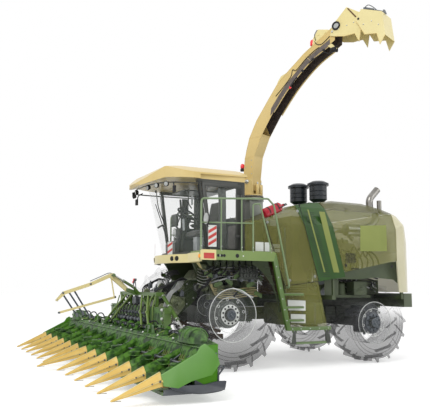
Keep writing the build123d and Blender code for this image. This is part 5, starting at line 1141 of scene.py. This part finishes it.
roof = Piece("roof_fittings", "duct_olive", 0.003)
for x, z in ((-1600, 3066), (-2980, 3142), (-3200, 3142)):
    for k in range(12):
        y = -660 + 110 * k
        roof.bar([(x, y, z), (x, y + 60, z)], 0.009, 6)

# Air cleaners, exhaust and extinguisher

ribs = Piece("cleaner_ribs", "precleaner_black", 0.002)
rims = Piece("cleaner_clamps", "steel", 0.001)
marks = Piece("cleaner_bands", "white_paint", 0.001)
for x, y in ((-2660, 185), (-2485, -300)):
    for spot, way in around(P(x, y, 3330), Z, 158, 36):
        across = Z.cross(way) * 0.004
        ribs.prism([spot - across, spot + across, spot + across + way * 0.012, spot - across + way * 0.012],
            Z * 0.25)
    for z in (3322, 3590):
        ribs.ring(P(x, y, z), Z, [(0, 158), (0, 176), (10, 178), (12, 160)], 40)
    rims.ring(P(x, y, 3215), Z, [(0, 92), (0, 100), (16, 100), (16, 92)], 32)
    rims.bolt(P(x + 104, y, 3223), X, 8)
    spread = [math.radians(a) for a in (52, 60, 68, 76, 84)]
    band = ((171, 3350), (173.5, 3350), (173.5, 3372), (171, 3372))
    marks.faces([[P(x + r * math.cos(a), y + r * math.sin(a), z) for r, z in band] for a in spread])
pipe = Piece("exhaust_fittings", "steel", 0.001)
for z in (3010, 3060):
    pipe.ring(P(-3560, 860, z), Z, [(0, 74), (0, 82), (14, 82), (14, 74)], 32)
pipe.bolt(P(-3476, 860, 3017), X, 8)
strap = Piece("extinguisher_fittings", "black_rubber", 0.001)
lean = Vector((-0.913, 0, 0.407))
for along in (-140, 60):
    strap.ring(P(-880, 1265, 2860) + lean * along / 1000, lean, [(0, 80), (0, 88), (22, 88), (22, 80)], 28)
strap.lathe(P(-1092, 1265, 2948), lean, [(0, 26), (14, 26), (18, 18), (30, 16)], 16)
strap.tube([(-1100, 1265, 2960), (-1130, 1300, 2975), (-1090, 1345, 2940), (-960, 1350, 2880)], 0.009, 8)

# Platform, steps, ladder and rails

EDGE_SLANT = 0.2214
grate = Piece("platform_grating", "step_grey", 0)
for at, front in ((LEFT, 620), (RIGHT, -20)):
    for k in range(int((front + 740) / 46)):
        x = -740 + 46 * k
        grate.box((x, 1000, 2051), (x + 12, 1452, 2059), at)
    for y in range(1000, 1449, 56):
        grate.bar([(-740, y, 2056), (front - 10, y, 2056)], 0.004, 6, at)
for at in SIDES:
    for z in (830, 1060, 1290):
        x = -1070 + (z - 730) * EDGE_SLANT
        for k in range(int((x + 1360) / 30)):
            grate.box((-1360 + 30 * k, 1400, z + 35.5), (-1348 + 30 * k, 1490, z + 42), at)
tread = Piece("ladder_tread", "step_grey", 0, "folding_ladder")
for k in range(26):
    tread.box((-1920 + 30 * k, 1444, 465.5), (-1908 + 30 * k, 1486, 472))
joints = Piece("rail_clamps", "steel", 0.001)
for at, places in ((LEFT, (680, 300, -100, -320, -690)), (RIGHT, (30, -700))):
    for x in places:
        for z in (2120, 2050):
            joints.bolt(at(x, 1496, z), at.out, 8)
treads = Piece("sill_bolts", "steel", 0.001)
for at in SIDES:
    for x in (-1120, -1300, -1500, -1700, -1900):
        treads.bolt(at(x, 1499, 700), at.out, 8)
    for k in range(6):
        z = 850 + 190 * k
        treads.bolt(at(-1028 + (z - 730) * EDGE_SLANT, 1499, z), at.out, 8)

# Discharge spout: liner, cables, brackets, lamps, cylinders and pins

BACK_EDGE = [(-100, 3700), (-70, 4050), (40, 4460), (230, 4820), (740, 5490), (1340, 5960), (1900, 6280)]
UNDER_EDGE = [(640, 4920), (1040, 5390), (1500, 5780), (1900, 5995)]
chute = nodes["spout_chute"].data
chute.materials.append(M["dark_liner"])
along = Vector((math.cos(SPOUT_TURN), math.sin(SPOUT_TURN), 0))
for face in chute.polygons:
    middle = face.center - P(SPOUT_X, 0, 0)
    sideways = abs(middle.dot(Vector((-along.y, along.x, 0))))
    if middle.z > 4.62 and sideways < 0.146 and (face.normal.dot(along) > 0.3 or sideways > 0.13):
        face.material_index = 1

wear = Piece("chute_side_liner", "dark_liner", 0.001, "spout")
edge = Piece("chute_hems", "dark_liner", 0, "spout")
seam = Piece("chute_seams", "paint_cream", 0, "spout")
inlay = [(566, 4846), (584, 4999), (763, 5230), (945, 5430), (1183, 5641), (1416, 5847), (1643, 5973),
    (1811, 6059), (1930, 6120), (1930, 6020), (1500, 5784), (1040, 5394), (640, 4924)]
for side in (-1, 1):
    wear.prism(bend(side * 150, inlay), over(side * 2))
    edge.tube(bend(side * 146, UNDER_EDGE), 0.006, 8)
    seam.tube([S(l + 12, side * 146, z - 12) for l, z in UNDER_EDGE], 0.007 if side < 0 else 0.014, 8)
    for ends in (((-70, 4050), (170, 4080)), ((40, 4460), (330, 4472)), ((1340, 5950), (1500, 5790))):
        seam.bar(bend(side * 150, ends), 0.004, 6)
    seam.tube([S(l + 14, side * 150, z - 14) for l, z in BACK_EDGE], 0.004, 6)

leads = Piece("chute_cables", "black_rubber", 0, "spout")
leads.tube(bend(-157, ((700, 5230), (763, 5282), (945, 5440), (1065, 5572), (1100, 5690), (1170, 5660),
    (1271, 5735), (1416, 5857), (1587, 5961), (1700, 6010))), 0.007, 8)
leads.tube(bend(-112, ((1637, 6387), (1579, 6299), (1600, 6180))), 0.007, 8)
leads.tube(bend(-158, ((1600, 6150), (1646, 6086), (1756, 6060), (1930, 6170))), 0.007, 8)
leads.tube(bend(-90, ((-112, 3640), (-124, 3760), (-108, 3900), (-96, 4060), (-60, 4240), (20, 4470),
    (210, 4830), (480, 5190), (700, 5480))), 0.008, 8)
leads.tube(bend(90, ((-112, 3640), (-118, 3800), (-96, 4060), (20, 4470), (210, 4830), (720, 5500),
    (1320, 5980))), 0.011, 8)
leads.tube(bend(-162, ((1480, 5740), (1560, 5790), (1800, 5880), (1900, 5830), (1980, 5900), (2060, 5880))),
    0.008, 8)

plates = Piece("chute_brackets", "pale_cream", 0.002, "spout")
lift = over(8)
for y in (-108, -30, 22, 100):
    plates.prism(bend(y, ((690, 5410), (720, 5540), (800, 5640), (960, 5690), (1000, 5690))), lift)
    plates.prism(bend(y, ((1520, 6068), (1545, 6250), (1650, 6396), (1871, 6337), (1905, 6280))), lift)
for l, z in ((800, 5580), (1660, 6290), (1800, 6290)):
    plates.bar([(l, -118, z), (l, 118, z)], 0.020, 16, S)
plates.bar([(-90, -120, 3850), (-150, -120, 3830)], 0.012, 10, S)
plates.prism(bend(-153, ((1880, 5990), (1960, 6020), (2080, 5900), (2040, 5860))), lift)
knobs = Piece("chute_fittings", "black_rubber", 0.001, "spout")
out = over(-1)
for l, z in ((1800, 5925), (1560, 5800), (1330, 5620)):
    knobs.lathe(S(l, -150, z), out, [(0, 26), (26, 24), (34, 16), (36, 3)], 18)
knobs.tube([(1200, -156, 5510), (1180, -185, 5480), (1080, -185, 5370), (1060, -156, 5350)], 0.013, 10, S)
knobs.lathe(S(-150, -120, 3800), Z, [(0, 44), (40, 46), (48, 40), (60, 36)], 24)
knobs.lathe(S(1500, -40, 6060), Z, [(0, 40), (46, 42), (54, 36), (60, 30)], 24)
knobs.lathe(S(2010, -170, 5880), along, [(-50, 44), (30, 52), (60, 64), (66, 64), (66, 56), (50, 50),
    (50, 2)], 26)
domes = Piece("chute_beacons", "red_lamp", 0.001, "spout")
domes.lathe(S(-150, -120, 3860), Z, [(0, 36), (10, 44), (60, 44), (84, 34), (96, 14), (97, 2)], 24)
domes.lathe(S(1500, -40, 6120), Z, [(0, 34), (10, 56), (80, 56), (112, 44), (130, 18), (131, 2)], 24)
domes.lathe(S(1045, -160, 5338), out, [(0, 26), (12, 26), (20, 18), (21, 3)], 20)
pins = Piece("chute_pins", "steel", 0.001, "spout")
for side in (-1, 1):
    way = over(side)
    pins.bolt(S(1995, side * 185, 6235), way, 16)
    pins.bolt(S(0, side * 176, 3560), way, 34)
    for z in (3720, 3860, 4000):
        for l in (-60, 100):
            pins.bolt(S(l, side * 151, z), way, 8)

# Body, outer face, bolts, points of the hem
FLAPS = [("flap_inner", 178, ((2120, 6250), (2300, 6280), (2440, 6300)),
          ((2050, 6132), (2250, 6082), (2450, 6082), (2540, 5902), (2612, 6325))),
         ("flap_outer", 202, ((2640, 6200), (2800, 6220), (2930, 6120)),
          ((2502, 6292), (2660, 6002), (2890, 5962), (2950, 5742), (3053, 5900)))]
for flap, y0, lugs, hem in FLAPS:
    trim = Piece(flap + "_hems", "paint_cream", 0, flap)
    bolts = Piece(flap + "_bolts", "steel", 0.001, flap)
    for side in (-1, 1):
        way = over(side)
        trim.bar(bend(side * (y0 + 1), hem), 0.006, 8)
        for l, z in lugs:
            bolts.bolt(S(l, side * y0, z), way, 9)
ring = Piece("flap_ring_lamp", "black_rubber", 0.002, "flap_inner")
lens = Piece("flap_ring_lens", "lamp_glass", 0.001, "flap_inner")
for side in (-1, 1):
    way = over(side)
    ring.ring(S(2080, side * 178, 6330), way, [(0, 84), (20, 84), (26, 76), (26, 58), (8, 54), (0, 54)], 32)
    lens.lathe(S(2080, side * 178, 6330), way, [(0, 54), (10, 52), (14, 38), (15, 3)], 28)
    ring.bolt(S(2545, side * 207, 6330), way, 16)
stay = Piece("flap_stay", "brown_hose", 0.002, "flap_inner")
stay.prism(bend(-184, ((2312, 6604), (2336, 6610), (2500, 6396), (2478, 6384))), out * 0.010)
for side in (-1, 1):
    stay.prism(bend(side * 60, ((2200, 6548), (2290, 6634), (2330, 6630), (2430, 6550))), out * 0.010)
rods = Piece("flap_cylinder", "dark_steel", 0.001, "flap_outer")
rods.bar([(2600, -60, 6570), (2780, -60, 6490)], 0.026, 16, S)
rods.bar([(2780, -60, 6490), (3000, -60, 6390)], 0.012, 12, S)
rods.tube([(2620, -60, 6590), (2700, -80, 6600), (2800, -60, 6520), (2880, -40, 6410)], 0.008, 8, S)
for l, z in ((2610, 6510), (2990, 6358)):
    rods.prism([(l - 30, -80, z), (l + 40, -80, z - 18), (l + 12, -80, z + 66), (l - 16, -80, z + 76)],
        over(40), S)

base = Piece("turret_cylinders", "paint_cream", 0.002, "turret")
chrome = Piece("turret_rods", "steel", 0.001, "turret")
slit = Piece("turret_fittings", "black_rubber", 0.002, "turret")
for side in (-1, 1):
    base.lathe(S(186, side * 62, 3302), Z, [(0, 30), (8, 36), (190, 36), (200, 30)], 24)
    chrome.lathe(S(186, side * 62, 3500), Z, [(0, 15), (52, 15)], 16)
    for spot, way in around(S(0, 0, 3266), Z, 226, 20, 0.25 * side):
        slit.bolt(spot, way, 9)
slit.prism([(152, -14, 3305), (152, 14, 3305), (152, 14, 3500), (152, -14, 3500)], along * 0.004, S)
slit.ring(S(0, 0, 3236), Z, [(0, 226), (10, 240), (24, 240), (34, 226)], 56)
for a in full_turn(72):
    chrome.lathe(S(240 * math.cos(a), 240 * math.sin(a), 3248), Z, [(0, 5), (10, 5)], 6)

# Rear end, undercarriage and the inside of the rear wheels

under = Piece("underbody_sheets", "deep_green", 0.003)
unit = Piece("underbody_units", "chassis_black", 0.006)
pipes = Piece("underbody_pipes", "steel", 0)
lines = Piece("underbody_hoses", "black_rubber", 0)
caps = Piece("underbody_bolts", "hub_grey", 0.001)
for at in SIDES:
    out = at.out
    under.prism([(-2080, 560, 1310), (-3900, 560, 1310), (-3900, 560, 1600), (-2080, 560, 1600)],
        out * 0.005, at)
    under.prism([(-2090, 1130, 1290), (-2420, 1130, 1290), (-2430, 1130, 1596), (-2090, 1130, 1596)],
        out * 0.004, at)
    for x, wide, low, high in ((-2200, 330, 720, 1060), (-2560, 240, 760, 1060), (-2830, 200, 820, 1060)):
        unit.box((x - wide, 200, low), (x, 520, high), at)
        for k in range(5):
            unit.box((x - wide + 16, 521, low + 40 + 56 * k), (x - 16, 532, low + 56 + 56 * k), at)
    for x in (-2600, -2900, -3200, -3500, -3800):
        under.box((x, 566, 1320), (x + 26, 590, 1590), at)
        for z in (1360, 1540):
            caps.bolt(at(x + 13, 591, z), out, 11)
    for k in range(9):
        x = -2150 - 190 * k
        lines.tube([(x, 582, 1580), (x - 40, 586, 1510), (x + 30, 586, 1440), (x - 60, 582, 1385)], 0.015, 8,
            at)
        pipes.tube([(x - 60, 586, 1560), (x - 70, 590, 1470), (x - 160, 590, 1430)], 0.011, 8, at)
    for k in range(4):
        pipes.tube([(-200, 190 + 26 * k, 1080), (-1000, 200 + 26 * k, 1062), (-2000, 210 + 26 * k, 1074),
            (-3000, 190 + 26 * k, 1082)], 0.010, 8, at)
    for x, z in ((-1868, 1180), (-1780, 1200), (-1868, 1210)):
        caps.bolt(at(x, 376, z), out, 14)
    for k in range(14):
        caps.bolt(at(-300 - 260 * k, 376, 1250), out, 13)

tank = Piece("air_tank", "arm_slate", 0.002)
tank.lathe(P(-3850, -470, 920), Y, [(0, 60), (16, 130), (60, 176), (120, 188), (820, 188), (880, 176),
    (924, 130), (940, 60)], 40)
for y in (-300, 300):
    tank.ring(P(-3850, y, 920), Y, [(0, 188), (0, 194), (40, 194), (40, 188)], 40)

shaft = Piece("drive_shafts", "dark_steel", 0.002)
for a, b in ((P(-160, 0, 960), P(-860, 0, 1120)), (P(-2280, 0, 1180), P(-3040, 0, 900))):
    way = b - a
    length = way.length * 1000
    shaft.lathe(a, way, [(0, 70), (20, 74), (34, 74), (40, 40), (110, 44), (130, 36), (length - 130, 36),
        (length - 110, 44), (length - 40, 40), (length - 34, 74), (length - 20, 74), (length, 70)], 24)

TIE_X = REAR_X - 190
steer = Piece("steering_cylinder", "dark_steel", 0.002)
steer.lathe(P(TIE_X, -330, 770), Y, [(0, 30), (10, 46), (40, 48), (620, 48), (650, 46), (660, 30)], 28)
for at in SIDES:
    steer.lathe(at(TIE_X, 330, 770), at.out, [(0, 20), (200, 20), (210, 30), (250, 30)], 20)
    steer.prism([(REAR_X - 96, 200, 700), (REAR_X - 96, 300, 700), (REAR_X - 150, 300, 840),
        (REAR_X - 150, 200, 840)], Z * 0.012, at)
    steer.bolt(at(REAR_X, 960, 986), Z, 24)
    steer.bolt(at(REAR_X, 960, 534), -Z, 24)
    for x in (-70, 70):
        for y in (780, 880):
            steer.bolt(at(REAR_X + x, y, 966), Z, 13)
for at in (LEFT, RIGHT):
    motor = Piece("wheel_motor_" + at.name, "arm_slate", 0.002, "steering_" + at.name)
    out = at.out
    motor.bolts(at(REAR_X, 1100, 760), out, 118, 10, 9)
    for dx in (-60, 60):
        motor.tube([(REAR_X + dx, 930, 800), (REAR_X + dx, 850, 880), (REAR_X + dx * 2, 800, 910),
            (REAR_X + dx * 3, 760, 900)], 0.016, 10, at)

rear = Piece("bumper_lamp_housings", "black_rubber", 0.003)
glass = Piece("bumper_lamps", "red_lamp", 0.002)
turn = Piece("bumper_indicators", "amber", 0.002)
for at in SIDES:
    rear.box((-4284, 760, 1130), (-4276, 1120, 1250), at)
    for k, piece in enumerate((glass, turn, glass)):
        piece.lathe(at(-4284, 820 + 110 * k, 1190), -X, [(0, 46), (8, 44), (14, 32), (16, 3)], 24)
    rear.lathe(at(-4276, 600, 1190), -X, [(0, 30), (20, 30), (24, 20), (25, 3)], 20)
for k in range(4):
    rear.bolt(P(-4276, -420 + 280 * k, 1290), -X, 12)
    rear.bolt(P(-4276, -420 + 280 * k, 1085), -X, 12)
pin = Piece("hitch_pin", "steel", 0.001)
pin.lathe(P(-4308, 0, 880), Z, [(0, 18), (180, 18), (182, 30), (196, 30), (200, 24)], 20)
pin.tube([(-4308, 0, 1080), (-4308, 40, 1110), (-4308, 90, 1106), (-4308, 96, 1080)], 0.007, 8)

fuel = Piece("tank_fittings", "black_rubber", 0.002)
straps = Piece("tank_straps", "dark_steel", 0.001)
for at in SIDES:
    out = at.out
    fuel.lathe(at(-1240, 1331, 1076), out, [(0, 66), (12, 66), (16, 56), (30, 56), (36, 44), (38, 3)], 28)
    for x in (-1180, -1440, -1720):
        straps.box((x - 20, 1331, 764), (x + 20, 1336, 1146), at)
        straps.bolt(at(x, 1336, 1120), out, 9)
        straps.bolt(at(x, 1336, 790), out, 9)

steps = Piece("step_plates", "white_paint", 0.004)
for at in SIDES:
    for outline in (((-1092, 1211), (-1481, 1195), (-1478, 1012), (-1107, 1024)),
            ((-1156, 960), (-1477, 948), (-1475, 790), (-1161, 802))):
        steps.prism([at(x, PANEL_Y + 3, z) for x, z in outline], at.out * 0.004)
    steps.prism([(-428, PANEL_Y + 3, 2070), (-594, PANEL_Y + 3, 2070), (-594, PANEL_Y + 3, 2232),
        (-428, PANEL_Y + 3, 2232)], at.out * 0.003, at)
    steps.prism([(-618, PANEL_Y + 3, 2070), (-735, PANEL_Y + 3, 2070), (-735, PANEL_Y + 3, 2232),
        (-618, PANEL_Y + 3, 2232)], at.out * 0.003, at)
posts = Piece("ladder_posts", "chassis_black", 0.002, "folding_ladder")
for low, high in (((-1097, -1200), (-1125, -1180)), ((-1860, -1960), (-1840, -1925))):
    posts.prism([(low[0], 1491, 434), (low[1], 1491, 434), (high[1], 1491, 606), (high[0], 1491, 606)],
        Y * 0.006)

trim = Piece("cab_side_trim", "cab_dark", 0.003)
lining = Piece("cab_side_lining", "seat_grey", 0.003)
for at in SIDES:
    trim.prism([(-262, 940, 3360), (-408, 940, 3360), (-408, 940, 2080), (-262, 940, 2080)], at.out * 0.006,
        at)
    trim.tube([(70, 900, 3240), (30, 905, 2700), (60, 900, 2140)], 0.022, 12, at)
    lining.prism([(-110, 940, 2520), (-258, 940, 2560), (-258, 940, 2090), (-110, 940, 2080)],
        at.out * 0.005, at)
    trim.prism([(-95, 845, 3250), (45, 845, 3250), (30, 845, 2070), (-110, 845, 2070)], at.out * 0.03, at)

# Machinery beside the feeder and behind the front wheels

cases = Piece("feeder_side_units", "sand_cast", 0.004, "feeder")
dark = Piece("feeder_side_dark", "dark_steel", 0.003, "feeder")
runs = Piece("feeder_side_pipes", "steel", 0, "feeder")
hoses = Piece("feeder_side_hoses", "black_rubber", 0, "feeder")
for at in SIDES:
    out = at.out
    for x, z, r in ((760, 1180, 96), (930, 1330, 60), (620, 1420, 74), (960, 1060, 70)):
        cases.lathe(at(x, 440, z), out, [(0, r), (20, r + 6), (30, r), (34, r * 0.7), (60, r * 0.62),
            (66, r * 0.3), (84, r * 0.28)], 28)
        cases.bolts(at(x, 470, z), out, r * 0.86, 8, 7)
    for x, z in ((860, 1200), (700, 1330), (820, 1400), (560, 1260)):
        dark.box((x, 440, z), (x + 70, 500, z + 90), at)
        dark.lathe(at(x + 35, 470, z + 90), Z, [(0, 18), (30, 18), (34, 12), (56, 12)], 14)
    for k in range(5):
        runs.tube([(560 + 26 * k, 510, 1560), (640 + 26 * k, 520, 1420), (800 + 20 * k, 520, 1300),
            (880 + 20 * k, 510, 1080)], 0.009, 8, at)
        hoses.tube([(1000 - 30 * k, 500, 1300), (960 - 40 * k, 560, 1420 + 12 * k),
            (820 - 40 * k, 570, 1500 + 20 * k), (640 - 30 * k, 530, 1560)], 0.013, 8, at)

leaves = Piece("arch_brackets", "paint_green", 0.003)
pale = Piece("arch_cylinders", "steel", 0.002)
for at in SIDES:
    out = at.out
    for x, z, turn in ((-680, 1300, 0.5), (-520, 1480, -0.4), (-330, 1360, 0.2), (-80, 1520, 0.7),
            (140, 1480, -0.3), (-700, 1620, 0.9), (330, 1650, 0.4), (-240, 1640, -0.7), (60, 1680, 0.1)):
        c, s = math.cos(turn), math.sin(turn)
        outline = [(-90, -26), (70, -40), (100, 0), (60, 36), (-70, 44)]
        leaves.prism([at(x + a * c - b * s, 1040, z + a * s + b * c) for a, b in outline], out * 0.012)
        leaves.bolt(at(x, 1052, z), out, 11)
    for start, end, r in (((-560, 1250), (-140, 1420), 22), ((-60, 1600), (300, 1500), 16),
            ((-740, 1480), (-560, 1700), 18)):
        a, b = at(start[0], 1060, start[1]), at(end[0], 1060, end[1])
        length = (b - a).length * 1000
        pale.lathe(a, b - a, [(0, r), (length * 0.55, r), (length * 0.56, r * 0.5), (length, r * 0.5)], 18)

for piece in list(Piece.open_pieces):
    piece.done()

# Camera, light and floor

camera = bpy.data.objects.new("camera", bpy.data.cameras.new("camera"))
bpy.context.scene.collection.objects.link(camera)
bpy.context.scene.camera = camera
# Solved from the photograph: turns in radians, focal length and picture width in pixels
AZ, PITCH, ROLL = 0.455, 0.134, 0.007
FOCAL, WIDTH = 615.03, 430
camera.data.sensor_width = 36
camera.data.lens = 36 * FOCAL / WIDTH
camera.data.clip_end = 300
look = Vector((-math.sin(AZ) * math.cos(PITCH), -math.cos(AZ) * math.cos(PITCH), math.sin(PITCH)))
right = look.cross(Z).normalized()
up = right.cross(look)
right, up = (right * math.cos(ROLL) + up * math.sin(ROLL)), (up * math.cos(ROLL) - right * math.sin(ROLL))
turn = Matrix((right, up, -look)).transposed().to_4x4()
camera.matrix_world = Matrix.Translation(P(5030, 10892, 1442)) @ turn


def area(name, place, target, size, power):
    """Area lamp that faces a target; places and size in metres."""
    lamp = bpy.data.objects.new(name, bpy.data.lights.new(name, "AREA"))
    lamp.data.size = size
    lamp.data.energy = power
    lamp.location = place
    lamp.rotation_euler = (Vector(target) - Vector(place)).to_track_quat("-Z", "Y").to_euler()
    bpy.context.scene.collection.objects.link(lamp)


area("key", (9, 9, 13), (0, 0, 1.5), 7, 900)
area("fill", (-10, 9, 8), (0, 0, 1.5), 9, 350)


def camera_share(tree, low, high):
    """Strength that is high for what the camera, a mirror or glass sees and low for light on the object."""
    path = add_node(tree, "LightPath")
    total = path.outputs["Is Camera Ray"]
    for name in ("Is Glossy Ray", "Is Transmission Ray"):
        most = tree.nodes.new("ShaderNodeMath")
        most.operation = "MAXIMUM"
        tree.links.new(total, most.inputs[0])
        tree.links.new(path.outputs[name], most.inputs[1])
        total = most.outputs["Value"]
    return add_node(tree, "MapRange", [("Value", total)], To_Min=low, To_Max=high).outputs["Result"]


world = bpy.data.worlds.new("studio")
bpy.context.scene.world = world
world.use_nodes = True
back = world.node_tree.nodes["Background"]
back.inputs["Color"].default_value = (1, 1, 1, 1)
world.node_tree.links.new(camera_share(world.node_tree, 0.7, 1.0), back.inputs["Strength"])

floor_mesh = bpy.data.meshes.new("floor")
floor_mesh.from_pydata([(-90, -90, 0), (90, -90, 0), (90, 90, 0), (-90, 90, 0)], [], [(0, 1, 2, 3)])
floor = bpy.data.objects.new("floor", floor_mesh)
bpy.context.scene.collection.objects.link(floor)
floor_mat = material("floor", (0.80, 0.80, 0.80), (0.79, 0.79, 0.79), 0.9, bump=0)
shader = floor_mat.node_tree.nodes["Principled BSDF"]
shader.inputs["Emission Color"].default_value = (1, 1, 1, 1)
floor_mat.node_tree.links.new(camera_share(floor_mat.node_tree, 0.0, 0.44),
    shader.inputs["Emission Strength"])
floor_mesh.materials.append(floor_mat)

bpy.context.scene.view_settings.view_transform = "Standard"
